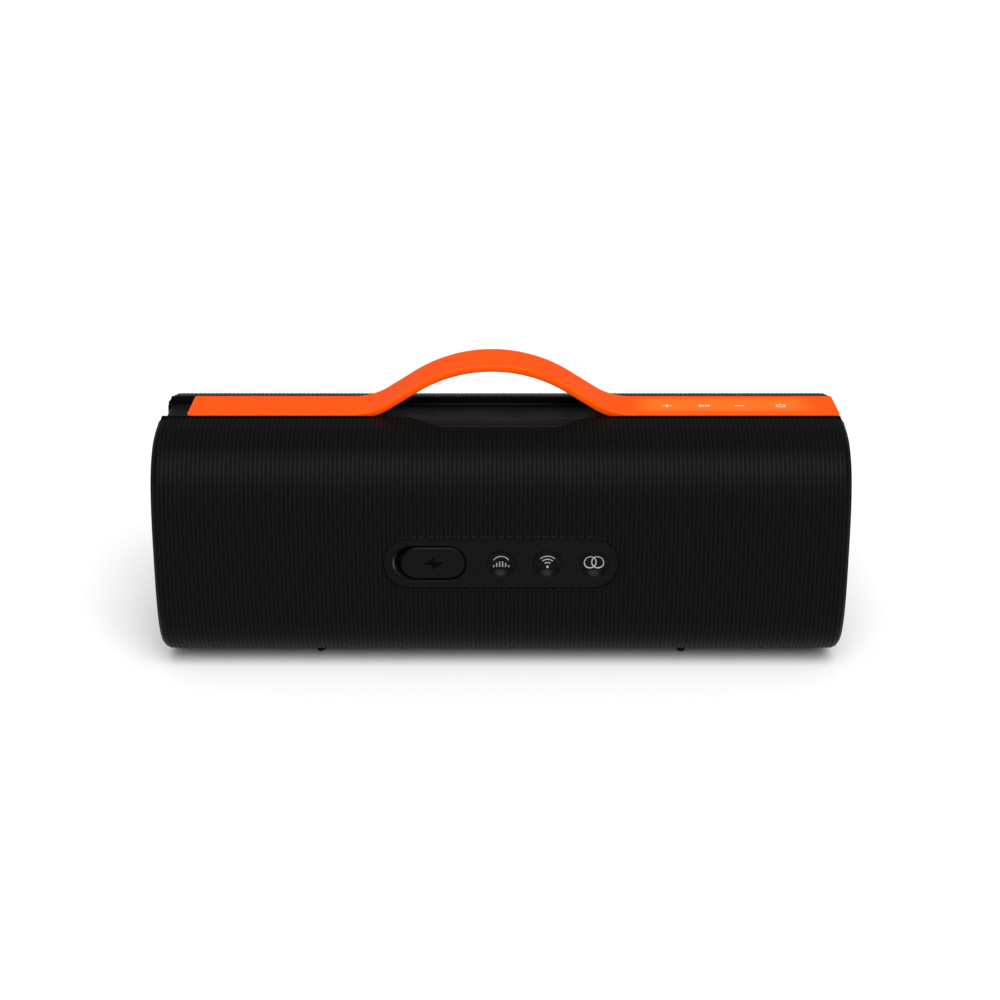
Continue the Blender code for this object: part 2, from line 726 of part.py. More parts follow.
def strap_key(name, x):
    outline = rounded_rectangle(KEY_HALF, KEY_HALF, 0.0020)
    half = (KEY_TOP - KEY_BOTTOM) / 2
    middle = (x, 0, (KEY_TOP + KEY_BOTTOM) / 2)
    return outline_solid(name, outline, half, "orange_silicone", ALONG_Z, middle)


def key_board():
    low = (KEY_BOARD_ENDS[0], -KEY_BOARD_HALF_WIDTH, KEY_BOARD_LOW)
    high = (KEY_BOARD_ENDS[1], KEY_BOARD_HALF_WIDTH, KEY_BOARD_HIGH)
    part = box("key_board", low, high, "board_green")
    start = (KEY_BOARD_LOW + KEY_BOARD_HIGH) / 2
    end = KEY_BOARD_HIGH + KEY_DOME_RISE
    for name, x in KEY_PLACES.items():
        add(part, cylinder(f"{name}_dome", KEY_DOME_RADIUS, start, end, None, ALONG_Z, (x, 0, 0), 10))
    return part


# ---------------------------------------------------------------- rear panel

def rear_panel():
    """Pill-shaped control panel with a port pocket, three button wells and a clamping flange."""
    middle = (0, (PANEL_FACE + PANEL_BACK) / 2, PANEL_Z)
    outline = pill(PANEL_LENGTH - 2 * SOFT_EDGE, PANEL_HEIGHT - 2 * SOFT_EDGE)
    half = (PANEL_BACK - PANEL_FACE) / 2
    part = outline_solid("rear_panel", outline, half, "black_plastic", ALONG_Y, middle, SOFT_EDGE)
    reach = 2 * PANEL_FLANGE_REACH
    flange_outline = pill(PANEL_LENGTH + reach, PANEL_HEIGHT + reach)
    place = (0, PANEL_FLANGE_Y, PANEL_Z)
    flange = outline_solid("panel_flange", flange_outline, PANEL_FLANGE_HALF, None, ALONG_Y, place)
    pocket_middle = (PANEL_FACE + POCKET_FLOOR) / 2 - PAST / 2
    pocket_half = (POCKET_FLOOR - PANEL_FACE) / 2 + PAST / 2
    pocket = outline_solid(
        "port_pocket",
        pill(POCKET_LENGTH, POCKET_HEIGHT),
        pocket_half,
        None,
        ALONG_Y,
        (POCKET_CENTRE_X, pocket_middle, PANEL_Z),
    )
    hole = pill(SOCKET_SIZE[0] + 2 * GAP, SOCKET_SIZE[1] + 2 * GAP, 5)
    place = (POCKET_CENTRE_X, POCKET_FLOOR, PANEL_Z)
    socket = outline_solid("socket_hole", hole, PAST, None, ALONG_Y, place)
    add(part, flange)
    cut(part, pocket, socket)
    for name, x in BUTTON_PLACES.items():
        radius = BUTTON_RADIUS + GAP
        centre = (x, 0, PANEL_Z)
        cut(part, cylinder(f"{name}_well", radius, -0.055, -0.030, None, FACING_Y, centre, 24))
    return part


def panel_gasket():
    place = (0, GASKET_Y, PANEL_Z)
    reach = 2 * (PANEL_FLANGE_REACH - GAP)
    outer = pill(PANEL_LENGTH + reach, PANEL_HEIGHT + reach)
    part = outline_solid("panel_gasket", outer, GASKET_HALF, "black_rubber", ALONG_Y, place)
    inner = pill(PANEL_LENGTH + 3 * GAP, PANEL_HEIGHT + 3 * GAP)
    return cut(part, outline_solid("gasket_hole", inner, PAST / 2, None, ALONG_Y, place))


def port_flap():
    """Cover of the charging port, hinged at its right end."""
    length = FLAP_RIGHT - FLAP_LEFT
    middle = ((FLAP_LEFT + FLAP_RIGHT) / 2, FLAP_FACE + FLAP_THICKNESS / 2, PANEL_Z)
    part = outline_solid(
        "port_flap",
        pill(length - 2 * SOFT_EDGE, FLAP_HEIGHT - 2 * SOFT_EDGE),
        FLAP_THICKNESS / 2,
        "black_rubber",
        ALONG_Y,
        middle,
        SOFT_EDGE,
    )
    return move_origin(part, (FLAP_AXIS[0], FLAP_AXIS[1], PANEL_Z))


def usb_c_socket():
    """Shell of the charging socket, closed at the back, with the contact tongue inside."""
    x = POCKET_CENTRE_X
    front = POCKET_FLOOR
    middle = (x, (front + SOCKET_BACK) / 2, PANEL_Z)
    half = (SOCKET_BACK - front) / 2
    length, height = SOCKET_SIZE
    part = outline_solid("usb_c_socket", pill(length, height, 6), half, "plated_steel", ALONG_Y, middle)
    bore = pill(length - 2 * SOCKET_WALL, height - 2 * SOCKET_WALL, 6)
    cut(part, outline_solid("socket_hollow", bore, 0.006, None, ALONG_Y, (x, front, PANEL_Z)))
    tongue_low = (x - 0.0033, front + 0.0008, PANEL_Z - 0.00035)
    tongue_high = (x + 0.0033, SOCKET_BACK - 0.0008, PANEL_Z + 0.00035)
    return add(part, box("socket_tongue", tongue_low, tongue_high))


def panel_button(name, x):
    """Round dished button with a stem behind it."""
    face = -BUTTON_FACE
    dish = []
    steps = 2
    for i in range(steps + 1):
        share = i / steps
        dish.append((BUTTON_DISH_RADIUS * share, face - BUTTON_DISH_DEPTH * (1 - share ** 2)))
    profile = dish + [
        (BUTTON_RADIUS, face - SOFT_EDGE),
        (BUTTON_RADIUS, 0.0415),
        (BUTTON_STEM_RADIUS, 0.0415),
        (BUTTON_STEM_RADIUS, -BUTTON_END),
        (0, -BUTTON_END),
    ]
    return turned(name, profile, "black_plastic", (x, 0, PANEL_Z), (math.pi / 2, 0, 0), sides=24)


def button_board():
    part = box("button_board", (-0.0400, -0.0345, -0.0110), (0.0460, -0.0330, 0.0080), "board_green")
    half_width = SOCKET_SIZE[0] / 2 + 2 * GAP
    half_height = SOCKET_SIZE[1] / 2 + 2 * GAP
    low = (POCKET_CENTRE_X - half_width, -0.0360, PANEL_Z - half_height)
    high = (POCKET_CENTRE_X + half_width, -0.0320, PANEL_Z + half_height)
    return cut(part, box("board_notch", low, high))


def button_switch(name, x):
    """Square tact switch with a round plunger, soldered to the button board."""
    low = (x - 0.0030, -0.0363, PANEL_Z - 0.0030)
    high = (x + 0.0030, -0.0348, PANEL_Z + 0.0030)
    part = box(name, low, high, "plated_steel")
    centre = (x, 0, PANEL_Z)
    return add(part, cylinder(f"{name}_plunger", 0.0016, -0.0368, -0.0355, None, FACING_Y, centre, 16))


# ---------------------------------------------------------------- radiators, drivers, power

def half_roll(inner, outer, thickness, base, steps=6):
    """Closed profile of a surround: flat lands either side of a half-round roll."""
    middle = (inner + outer) / 2
    roll = (outer - inner) / 2 - 0.0018
    top = []
    bottom = []
    for i in range(steps + 1):
        angle = math.pi * i / steps
        top.append((middle - roll * math.cos(angle), base + thickness + roll * math.sin(angle)))
        bend = roll - thickness
        bottom.append((middle - bend * math.cos(angle), base + bend * math.sin(angle)))
    over = [(inner, base + thickness)] + top + [(outer, base + thickness)]
    under = [(outer, base)] + bottom[::-1] + [(inner, base)]
    return over + under


def radiator(side, facing):
    """Passive radiator: rubber surround seated in the end ring, and the disc that it carries."""
    surround = half_roll(*RADIATOR_ROLL, 0.0008, RADIATOR_BASE, 4)
    turned(f"radiator_surround_{side}", surround, "black_rubber", (0, 0, 0), facing, True, 28)
    face = RADIATOR_BASE + 0.0012
    profile = [
        (0, face + 0.0004),
        (0.0120, face + 0.0006),
        (0.0180, face + 0.0012),
        (0.0225, face + 0.0020),
        (RADIATOR_DISC_RADIUS - 0.0007, face + 0.0018),
        (RADIATOR_DISC_RADIUS, face + 0.0010),
        (RADIATOR_DISC_RADIUS, face - 0.0012),
        (0.0120, face - 0.0012),
        (0.0120, face - 0.0070),
        (0, face - 0.0070),
    ]
    turned(f"radiator_disc_{side}", profile, "satin_aluminium", (0, 0, 0), facing, sides=28)


def driver(side, x):
    """Full-range driver that faces the listener."""
    seat = DRIVER_SEAT
    basket = [
        (DRIVER_BASKET_RADIUS, seat + 0.0018),
        (DRIVER_BASKET_RADIUS, seat),
        (0.0288, seat),
        (0.0210, 0.0105),
        (0.0120, 0.0105),
        (0.0120, 0.0120),
        (0.0198, 0.0120),
        (0.0275, seat + 0.0010),
        (0.0285, seat + 0.0018),
    ]
    turned(f"driver_basket_{side}", basket, "black_plastic", (x, 0, 0), FACING_Y, True, 20)
    magnet = [
        (0, 0.0102),
        (0.0200, 0.0102),
        (0.0200, 0.0080),
        (DRIVER_MAGNET_RADIUS, 0.0080),
        (DRIVER_MAGNET_RADIUS, -0.0040),
        (0.0200, -0.0040),
        (0.0200, -0.0060),
        (0, -0.0060),
    ]
    turned(f"driver_magnet_{side}", magnet, "ferrite", (x, 0, 0), FACING_Y, sides=20)
    surround = half_roll(*DRIVER_ROLL, 0.0005, seat + 0.0021, 2)
    turned(f"driver_surround_{side}", surround, "black_rubber", (x, 0, 0), FACING_Y, True, 20)
    rim = seat + 0.0021
    cone = [
        (0, 0.0290),
        (0.0045, 0.0282),
        (0.0078, 0.0262),
        (0.0140, 0.0300),
        (DRIVER_CONE_RADIUS, rim),
        (DRIVER_CONE_RADIUS, rim - 0.0008),
        (0.0140, 0.0290),
        (0.0086, 0.0250),
        (0.0086, 0.0135),
        (0.0078, 0.0135),
        (0.0078, 0.0250),
        (0.0045, 0.0272),
        (0, 0.0280),
    ]
    turned(f"driver_cone_{side}", cone, "paper_cone", (x, 0, 0), FACING_Y, sides=20)


def battery():
    """Two cells side by side in a holder with a groove for each."""
    holder = box("battery_holder", (-0.0350, -0.0220, -0.0410), (0.0350, 0.0220, -0.0290), "black_plastic")
    for number, y in enumerate((-CELL_Y, CELL_Y), 1):
        centre = (0, y, CELL_Z)
        end = CELL_HALF_LENGTH
        cylinder(f"battery_cell_{number}", CELL_RADIUS, -end, end, "cell_wrap", FACING_X, centre, 24)
        radius = CELL_RADIUS + GAP
        end = CELL_HALF_LENGTH + GAP
        cut(holder, cylinder(f"cell_groove_{number}", radius, -end, end, None, FACING_X, centre, 24))


def main_board():
    part = box("main_board", (-0.0500, -0.0240, -0.0130), (0.0500, -0.0224, 0.0280), "board_green")
    chips = {
        "amplifier": ((-0.0200, -0.0234, 0.0080), (-0.0080, -0.0205, 0.0200)),
        "processor": ((0.0060, -0.0234, 0.0060), (0.0180, -0.0212, 0.0180)),
        "inductor": ((0.0260, -0.0234, 0.0000), (0.0340, -0.0180, 0.0080)),
        "radio": ((-0.0440, -0.0234, 0.0100), (-0.0280, -0.0210, 0.0240)),
    }
    for name, (low, high) in chips.items():
        add(part, box(name, low, high))
    return part


def leads():
    """Internal wires from the main board to the drivers and the battery."""
    for side, sign in (("left", -1), ("right", 1)):
        route = [
            (sign * 0.0460, -0.0205, -0.0040),
            (sign * 0.0490, -0.0150, -0.0040),
            (sign * 0.0540, -0.0095, -0.0020),
            (sign * 0.0620, -0.0075, 0.0000),
        ]
        wire(f"speaker_lead_{side}", route, LEAD_RADIUS, "wire_red")
    route = [
        (0.0300, -0.0205, -0.0100),
        (0.0350, -0.0170, -0.0130),
        (0.0365, -0.0130, -0.0190),
        (0.0345, -0.0105, -0.0250),
    ]
    wire("battery_lead", route, LEAD_RADIUS, "wire_red")


def build():
    shell("front_shell", 1)
    shell("rear_shell", -1)
    fabric_sleeve()
    end_ring("end_ring_left", -1)
    end_ring("end_ring_right", 1)
    foot("foot_left", -FOOT_X)
    foot("foot_right", FOOT_X)
    top_tray()
    hinges = arch_hinges()
    strap_right(hinges)
    strap_links(hinges)
    strap_left(hinges)
    strap_runner(hinges)
    for number, x in enumerate(STRAP_SCREWS, 1):
        fastener(f"strap_screw_{number}", STRAP_SCREW, "plated_steel", (x, 0, 0), ALONG_Z)
    for name, x in KEY_PLACES.items():
        strap_key(name, x)
    key_board()
    rear_panel()
    panel_gasket()
    port_flap()
    usb_c_socket()
    for number, (name, x) in enumerate(BUTTON_PLACES.items(), 1):
        panel_button(name, x)
        button_switch(f"button_switch_{number}", x)
    button_board()
    radiator("left", FACING_MINUS_X)
    radiator("right", FACING_X)
    driver("left", -DRIVER_X)
    driver("right", DRIVER_X)
    for number, (x, z) in enumerate(screw_places(), 1):
        fastener(f"shell_screw_{number}", CASE_SCREW, "plated_steel", (x, 0, z), FACING_Y)
    battery()
    main_board()
    leads()


build()
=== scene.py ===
"""Looks of the portable speaker with the pull-up strap handle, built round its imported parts.

Metres, +Z up, the length along X. The control panel is on the -Y side.
"""

import json
import math

import bmesh
import bpy
import numpy as np
from mathutils import Matrix, Vector


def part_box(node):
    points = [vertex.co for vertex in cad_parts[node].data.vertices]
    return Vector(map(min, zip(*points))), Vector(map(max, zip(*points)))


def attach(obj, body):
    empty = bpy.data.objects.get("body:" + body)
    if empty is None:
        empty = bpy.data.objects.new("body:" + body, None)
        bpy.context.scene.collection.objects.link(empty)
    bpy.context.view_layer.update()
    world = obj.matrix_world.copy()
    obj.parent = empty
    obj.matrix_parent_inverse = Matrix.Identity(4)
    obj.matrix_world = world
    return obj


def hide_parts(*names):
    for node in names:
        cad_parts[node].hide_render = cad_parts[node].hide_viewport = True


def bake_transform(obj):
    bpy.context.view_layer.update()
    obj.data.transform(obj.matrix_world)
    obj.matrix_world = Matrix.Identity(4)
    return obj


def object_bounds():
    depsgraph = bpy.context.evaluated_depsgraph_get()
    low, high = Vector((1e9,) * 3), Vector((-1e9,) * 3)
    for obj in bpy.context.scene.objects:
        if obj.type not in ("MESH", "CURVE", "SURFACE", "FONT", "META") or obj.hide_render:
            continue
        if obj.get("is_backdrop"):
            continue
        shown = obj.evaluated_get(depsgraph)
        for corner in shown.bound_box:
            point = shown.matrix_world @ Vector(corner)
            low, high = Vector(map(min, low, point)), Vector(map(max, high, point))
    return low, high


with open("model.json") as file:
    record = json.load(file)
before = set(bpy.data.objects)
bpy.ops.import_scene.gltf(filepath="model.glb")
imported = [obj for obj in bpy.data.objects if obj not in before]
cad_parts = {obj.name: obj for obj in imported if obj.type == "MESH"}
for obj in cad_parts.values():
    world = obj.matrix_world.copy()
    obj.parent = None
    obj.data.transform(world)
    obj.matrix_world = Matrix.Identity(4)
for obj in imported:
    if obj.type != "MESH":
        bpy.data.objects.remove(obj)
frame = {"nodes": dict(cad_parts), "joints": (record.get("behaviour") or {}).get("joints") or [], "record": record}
cad_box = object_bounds()

# ---------------- sizes from the frame

JOINTS = {joint["name"]: joint for joint in frame["joints"]}


def middle_of(node):
    """Middle of a node's box at rest."""
    low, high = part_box(node)
    return (low + high) / 2


# Body: its section is a superellipse with these powers, and the cloth rolls in at the ends.
SLEEVE_LOW, SLEEVE_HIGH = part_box("fabric_sleeve")
MIDDLE_Z = (middle_of("shell_screw_1").z + middle_of("shell_screw_2").z) / 2
HALF_LENGTH = SLEEVE_HIGH.x + 0.0002
HALF_DEPTH = SLEEVE_HIGH.y + 0.0007
SECTION_Z = MIDDLE_Z + 0.0005
HALF_HEIGHT = SECTION_Z - SLEEVE_LOW.z - 0.0011
DEPTH_POWER = 4.17
HEIGHT_POWER = 3.11
EDGE_ROUND = 0.0037
CORE_DEPTH = HALF_DEPTH - EDGE_ROUND
CORE_HEIGHT = HALF_HEIGHT - EDGE_ROUND
STRAIGHT = HALF_LENGTH - EDGE_ROUND
END_FLAT = 0.0009
END_ROLL = 0.0010

# Cloth: its slot for the strap, its ribs and its open cells.
CLOTH_THICKNESS = 0.0008
CLOTH_PITCH = 0.00177
CLOTH_COLUMNS = 64
CELL_HEIGHT = 0.00050
RIB_HEIGHT = 0.00010
SLOT_HALF = 0.0134
SLOT_ROLL = 0.0009
SLOT_LIP = 0.0005
SLOT_FADE = 0.0035
GAP = 0.0003

# Handle: the hinges lie where tangents to the arch's arcs meet, which gives its radii.
STEP = math.radians(JOINTS["handle_fold"]["range_deg"][1])
SLOPE = 2 * STEP
HINGE = [JOINTS["handle_fold"]["pos_m"]]
HINGE += [JOINTS[f"handle_bend_{number}"]["pos_m"] for number in range(2, 9)]
ARCH_X = (HINGE[0][0] + HINGE[7][0]) / 2
AXIS_Z = HINGE[0][2] + 0.0007
TOP_Z = HINGE[3][2] + 0.0003
TOP_RADIUS = (HINGE[3][0] - ARCH_X) / math.tan(STEP / 2) + 0.0015
BASE_RADIUS = 0.0284
RISE = TOP_Z - AXIS_Z
FLANK = (RISE - (TOP_RADIUS + BASE_RADIUS) * (1 - math.cos(SLOPE))) / math.sin(SLOPE)
HALF_SPAN = (TOP_RADIUS + BASE_RADIUS) * math.sin(SLOPE) + FLANK * math.cos(SLOPE)
STRAP_RIGHT_END, STRAP_SIDE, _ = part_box("strap_right")[1]
STRAP_HALF_WIDTH = STRAP_SIDE - 0.0003
STRAP_HALF_THICKNESS = 0.0016
STRAP_UNDERCUT = 0.0010
STRAP_LEFT_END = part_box("strap_left")[0].x
TIP_STEPS = [0.0, 0.0001, 0.0003, 0.0006, 0.0010, 0.0015]
TIP_ROUND = 0.0015
TIP_EDGE = 0.0006

# Keys, in their sunk area of the strap.
KEYS = ["key_volume_up", "key_play", "key_volume_down", "key_power"]
KEY_HALF = 0.0058
KEY_ROUND = 0.0022
KEY_CLEARANCE = 0.00003
KEY_SINK = 0.00002
KEY_DEPTH = 0.0012
KEY_FLOOR = AXIS_Z - 0.0011
DISH_DEPTH = 0.0006
DISH_HALF_WIDTH = 0.0098
DISH_START = middle_of("key_volume_up").x - 0.0135
DISH_END = middle_of("key_power").x + 0.0135
DISH_FADE = 0.0060

# Tray: its channel, the rims beside the flat strap, and the apron beside the arch.
TRAY_LOW, TRAY_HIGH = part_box("top_tray")
TRAY_FLOOR = middle_of("key_board").z - 0.0009
CHANNEL_HALF = 0.0133
RIM_START = 0.0425
RIM_FADE = 0.009
RIM_SINK = 0.0009
RIM_EDGE = 0.0003
APRON_X = -0.0010
APRON_REACH = 0.0395
APRON_FLAT = 0.0215
APRON_INSIDE = -0.0120

# Rear panel, with its buttons as places along X.
PANEL_Z = middle_of("port_flap").z
PANEL_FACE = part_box("rear_panel")[0].y - 0.0008
PANEL_LENGTH = 0.0948
PANEL_HEIGHT = 0.0216
PLATE_EDGE = 0.0004
PLATE_HALF = 0.0015
SOCKET_X = middle_of("usb_c_socket").x
POCKET_LEFT = SOCKET_X - 0.0153
POCKET_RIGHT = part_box("port_flap")[1].x + 0.0001
POCKET_X = (POCKET_LEFT + POCKET_RIGHT) / 2
POCKET_LENGTH = POCKET_RIGHT - POCKET_LEFT
POCKET_HEIGHT = 0.0147
POCKET_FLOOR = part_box("usb_c_socket")[0].y
BUTTONS = {"button_bass": 0.00, "button_pairing": 0.0187, "button_link": 0.0374}
BUTTON_RADIUS = 0.0057
BUTTON_DISH = 0.0017
BUTTON_RIM = PANEL_FACE + 0.0001
FLAP_EDGE = 0.0012
FLAP_BEND = 0.0026
MARK_LIFT = 0.00005
MARK_SINK = 0.00010

# Lowest and highest depth of the tools that cut through each piece.
PANEL_CUT = (-0.06, -0.035)
APRON_CUT = (0.090, 0.110)
RUNNER_CUT = (0.08, 0.11)
FOOT_CUT = (-0.01, 0.01)

# Ends.
SEAT_RADIUS = 0.0363
DISC_RADIUS = 0.0247
DISC_HUB = 0.0100
ROLL_INNER = 0.0244
ROLL_OUTER = 0.0352
ROLL_THICKNESS = 0.0008
ROLL_SECTORS = 12

# Camera and light: each sun's name, its height and spread in degrees, and its strength.
CAMERA_PLACE = (-0.00045, -0.8247, 0.3595)
CAMERA_DIP = math.radians(19.9)
CAMERA_LENS = 74.94
SUNS = (("overhead", 82, 60, 0.4), ("key", 45, 50, 3.8))
SUN_SIDE = 0.08
WORLD_LIGHT = 0.28
BACKDROP = 1.0
FLOOR_HALF = 60.0

STRAP_ORANGE = (0.88, 0.078, 0.0018)
# Paler strap colour: random patches lean towards it, and over the key area it is painted light.
STRAP_PALE_TONE_AND_PAINTED_LIGHT = (0.92, 0.150, 0.0085)


# ---------------- node materials

def new_material(name, colour, roughness, metallic=0.0, specular=0.5):
    """Material whose shader is set to plain values."""
    look = bpy.data.materials.new(name)
    look.use_nodes = True
    shader = look.node_tree.nodes["Principled BSDF"]
    shader.inputs["Base Color"].default_value = (*colour, 1)
    shader.inputs["Roughness"].default_value = roughness
    shader.inputs["Metallic"].default_value = metallic
    shader.inputs["Specular IOR Level"].default_value = specular
    return look


def node(look, kind, inputs=None, **settings):
    """A node with its settings, and its inputs given as values or as sockets to link."""
    made = look.node_tree.nodes.new(kind)
    for key, value in settings.items():
        setattr(made, key, value)
    for key, value in (inputs or {}).items():
        socket = made.inputs[key]
        if isinstance(value, bpy.types.NodeSocket):
            look.node_tree.links.new(value, socket)
        else:
            socket.default_value = value
    return made


def math_node(look, operation, first, second=0.0):
    """Output of one step of arithmetic."""
    made = node(look, "ShaderNodeMath", {0: first, 1: second}, operation=operation)
    return made.outputs[0]


def times(look, first, second):
    """Product of two values."""
    return math_node(look, "MULTIPLY", first, second)


def noise(look, scale, detail):
    """Seamless noise from 0 to 1 over the piece's place in space."""
    place = node(look, "ShaderNodeTexCoord").outputs["Object"]
    inputs = {"Vector": place, "Scale": scale, "Detail": detail}
    return node(look, "ShaderNodeTexNoise", inputs).outputs["Fac"]


def ramp(look, value, low, high, out_low=0.0, out_high=1.0):
    """Value carried from one range to another and held inside it."""
    inputs = {"Value": value, "From Min": low, "From Max": high}
    inputs |= {"To Min": out_low, "To Max": out_high}
    return node(look, "ShaderNodeMapRange", inputs).outputs["Result"]


def mix_colours(look, factor, first, second):
    """Colour between two others; a mix node names its number and colour inputs alike."""
    mixed = node(look, "ShaderNodeMix", {"Factor": factor}, data_type="RGBA")
    colour_inputs = [socket for socket in mixed.inputs if socket.type == "RGBA"]
    for socket, colour in zip(colour_inputs, (first, second)):
        socket.default_value = (*colour, 1)
    return next(socket for socket in mixed.outputs if socket.type == "RGBA")


def link(look, source, socket, kind="Principled BSDF"):
    """Links an output to a socket of the look's shader."""
    shader = look.node_tree.nodes[kind]
    look.node_tree.links.new(source, shader.inputs[socket])


def bump(look, height, distance, strength=1.0, under=None):
    """Puts a bump on the shader, over another bump's normal if one is given."""
    inputs = {"Height": height, "Distance": distance, "Strength": strength}
    if under:
        inputs["Normal"] = under
    made = node(look, "ShaderNodeBump", inputs)
    link(look, made.outputs["Normal"], "Normal")
    return made.outputs["Normal"]


def moulded(
    name, colour, roughness, grain=0.00003, scale=2600.0, specular=0.5, vary=0.25, metallic=0.0
):
    """Moulded surface: fine grain, faint colour variation and handled, smoother patches."""
    look = new_material(name, colour, roughness, metallic, specular)
    patches = noise(look, 45.0, 4.0)
    darker = tuple(channel * (1 - vary) for channel in colour)
    lighter = tuple(min(channel * (1 + vary), 1) for channel in colour)
    link(look, mix_colours(look, patches, darker, lighter), "Base Color")
    handled = noise(look, 90.0, 5.0)
    smudge = ramp(look, handled, 0.35, 0.65, roughness - 0.06, roughness + 0.06)
    link(look, smudge, "Roughness")
    bump(look, noise(look, scale, 2.0), grain)
    return look


def cloth_material():
    """Ribbed acoustic knit: staggered open cells between threads, over soft vertical ribs; the cells are painted
    near-black as painted shade inside them.
    """
    look = new_material("knit_fabric", (0.004, 0.004, 0.004), 0.38, 0.0, 0.036)
    place = node(look, "ShaderNodeUVMap", uv_map="cloth").outputs[0]
    parts = node(look, "ShaderNodeSeparateXYZ", {0: place})
    turns = [times(look, part, math.pi) for part in parts.outputs[:2]]
    across, along = [math_node(look, "COSINE", turn) for turn in turns]
    squared = math_node(look, "POWER", across, 2.0)
    narrow = times(look, times(look, across, along), squared)
    cell = ramp(look, narrow, 0.10, 0.42)
    thread = ramp(look, noise(look, 5200.0, 2.0), 0.3, 0.7, 0.85, 1.15)
    lit = times(look, math_node(look, "SUBTRACT", 1.0, cell), thread)
    wear = ramp(look, noise(look, 30.0, 4.0), 0.3, 0.7, 0.9, 1.1)
    # The open cells take the near-black colour, painted shade for the holes.
    dark, pale = (0.0001, 0.0001, 0.0001), (0.0040, 0.0040, 0.0041)
    colours = mix_colours(look, times(look, lit, wear), dark, pale)
    link(look, colours, "Base Color")
    link(look, ramp(look, cell, 0.0, 1.0, 0.38, 1.0), "Roughness")
    under = bump(look, noise(look, 4200.0, 2.0), 0.000003)
    bump(look, lit, 0.00008, 0.7, under)
    return look


def silicone_material():
    """Strap silicone with fine grain and random paler patches; over the smoother key area its colour turns paler,
    as painted light.
    """
    look = new_material("strap_silicone", STRAP_ORANGE, 0.50, 0.0, 0.05)
    place = node(look, "ShaderNodeTexCoord").outputs["Object"]
    parts = node(look, "ShaderNodeSeparateXYZ", {0: place})
    start = ramp(look, parts.outputs[0], DISH_START - 0.002, DISH_START + 0.008)
    end = ramp(look, parts.outputs[0], DISH_END + 0.002, DISH_END - 0.008)
    side = math_node(look, "ABSOLUTE", parts.outputs[1])
    inside = ramp(look, side, DISH_HALF_WIDTH + 0.001, DISH_HALF_WIDTH - 0.004)
    # Over the key area the finish is smoother, and the paler colour there is painted light.
    pad = times(look, times(look, start, end), inside)
    patches = ramp(look, noise(look, 60.0, 4.0), 0.2, 0.8, -0.1, 0.1)
    factor = math_node(look, "ADD", pad, patches)
    colours = mix_colours(look, factor, STRAP_ORANGE, STRAP_PALE_TONE_AND_PAINTED_LIGHT)
    link(look, colours, "Base Color")
    link(look, ramp(look, pad, 0.0, 1.0, 0.52, 0.44), "Roughness")
    bump(look, noise(look, 3200.0, 2.0), 0.00002)
    return look


def spun_metal(name, colour, roughness):
    """Metal turned about X: fine rings that follow the distance from the axis."""
    look = new_material(name, colour, roughness, 1.0)
    place = node(look, "ShaderNodeTexCoord").outputs["Object"]
    across = {0: place, 1: (0.0, 1.0, 1.0)}
    flat = node(look, "ShaderNodeVectorMath", across, operation="MULTIPLY").outputs[0]
    axis = {0: flat, 1: (0.0, 0.0, MIDDLE_Z)}
    centred = node(look, "ShaderNodeVectorMath", axis, operation="SUBTRACT").outputs[0]
    distance = node(look, "ShaderNodeVectorMath", {0: centred}, operation="LENGTH")
    rings = {"W": distance.outputs["Value"], "Scale": 9000.0, "Detail": 2.0}
    turned = node(look, "ShaderNodeTexNoise", rings, noise_dimensions="1D").outputs["Fac"]
    uneven = ramp(look, turned, 0.3, 0.7, roughness - 0.08, roughness + 0.10)
    link(look, uneven, "Roughness")
    bump(look, turned, 0.00001)
    return look


# Moulded looks: name, colour, roughness, grain, grain scale, specular, variation, metallic.
MATERIALS = {name: moulded(name, *look) for name, *look in (
    ("case_plastic", (0.0050, 0.0050, 0.0051), 0.42, 0.00003, 2600.0, 0.08),
    ("soft_rubber", (0.007, 0.007, 0.0072), 0.62, 0.00004, 2000.0, 0.12),
    ("circuit_board", (0.01, 0.08, 0.04), 0.45, 0.00002, 1500.0),
    ("plated_steel", (0.45, 0.45, 0.46), 0.30, 0.00001, 1800.0, 0.5, 0.1, 1.0),
    ("ferrite", (0.05, 0.05, 0.055), 0.60, 0.00004, 1400.0),
    ("paper_cone", (0.03, 0.03, 0.03), 0.85, 0.00006, 1800.0),
    ("cell_wrap", (0.02, 0.14, 0.35), 0.35, 0.00001, 900.0),
    ("wire_sleeve", (0.45, 0.02, 0.01), 0.40, 0.00001, 1200.0),
    ("panel_plastic", (0.0022, 0.0022, 0.0023), 0.36, 0.000003, 3000.0, 0.07),
    ("flap_rubber", (0.0022, 0.0022, 0.0023), 0.38, 0.000003, 2600.0, 0.07),
    # This very dark, dull rubber is painted shade: the tray rims beside the strap and the floor of the flap's sunk
    # mark.
    ("rim_rubber", (0.0015, 0.0015, 0.0016), 0.60, 0.00002, 2600.0, 0.02),
    # The pocket's gloss is real; its colour, paler than the plate's, is partly painted light.
    ("pocket_gloss", (0.0060, 0.0060, 0.0061), 0.24, 0.00001, 3000.0, 0.5),
    ("panel_print", (0.27, 0.27, 0.28), 0.55, 0.00001, 3000.0),
    ("key_print", (0.95, 0.72, 0.58), 0.50, 0.00001, 3000.0),
)}
MATERIALS["knit_fabric"] = cloth_material()
MATERIALS["strap_silicone"] = silicone_material()
MATERIALS["radiator_metal"] = spun_metal("radiator_metal", (0.060, 0.060, 0.065), 0.36)


# ---------------- mesh helpers

def in_scene(name, data):
    """New object of a mesh, curve, light or camera, linked to the scene."""
    made = bpy.data.objects.new(name, data)
    bpy.context.scene.collection.objects.link(made)
    return made


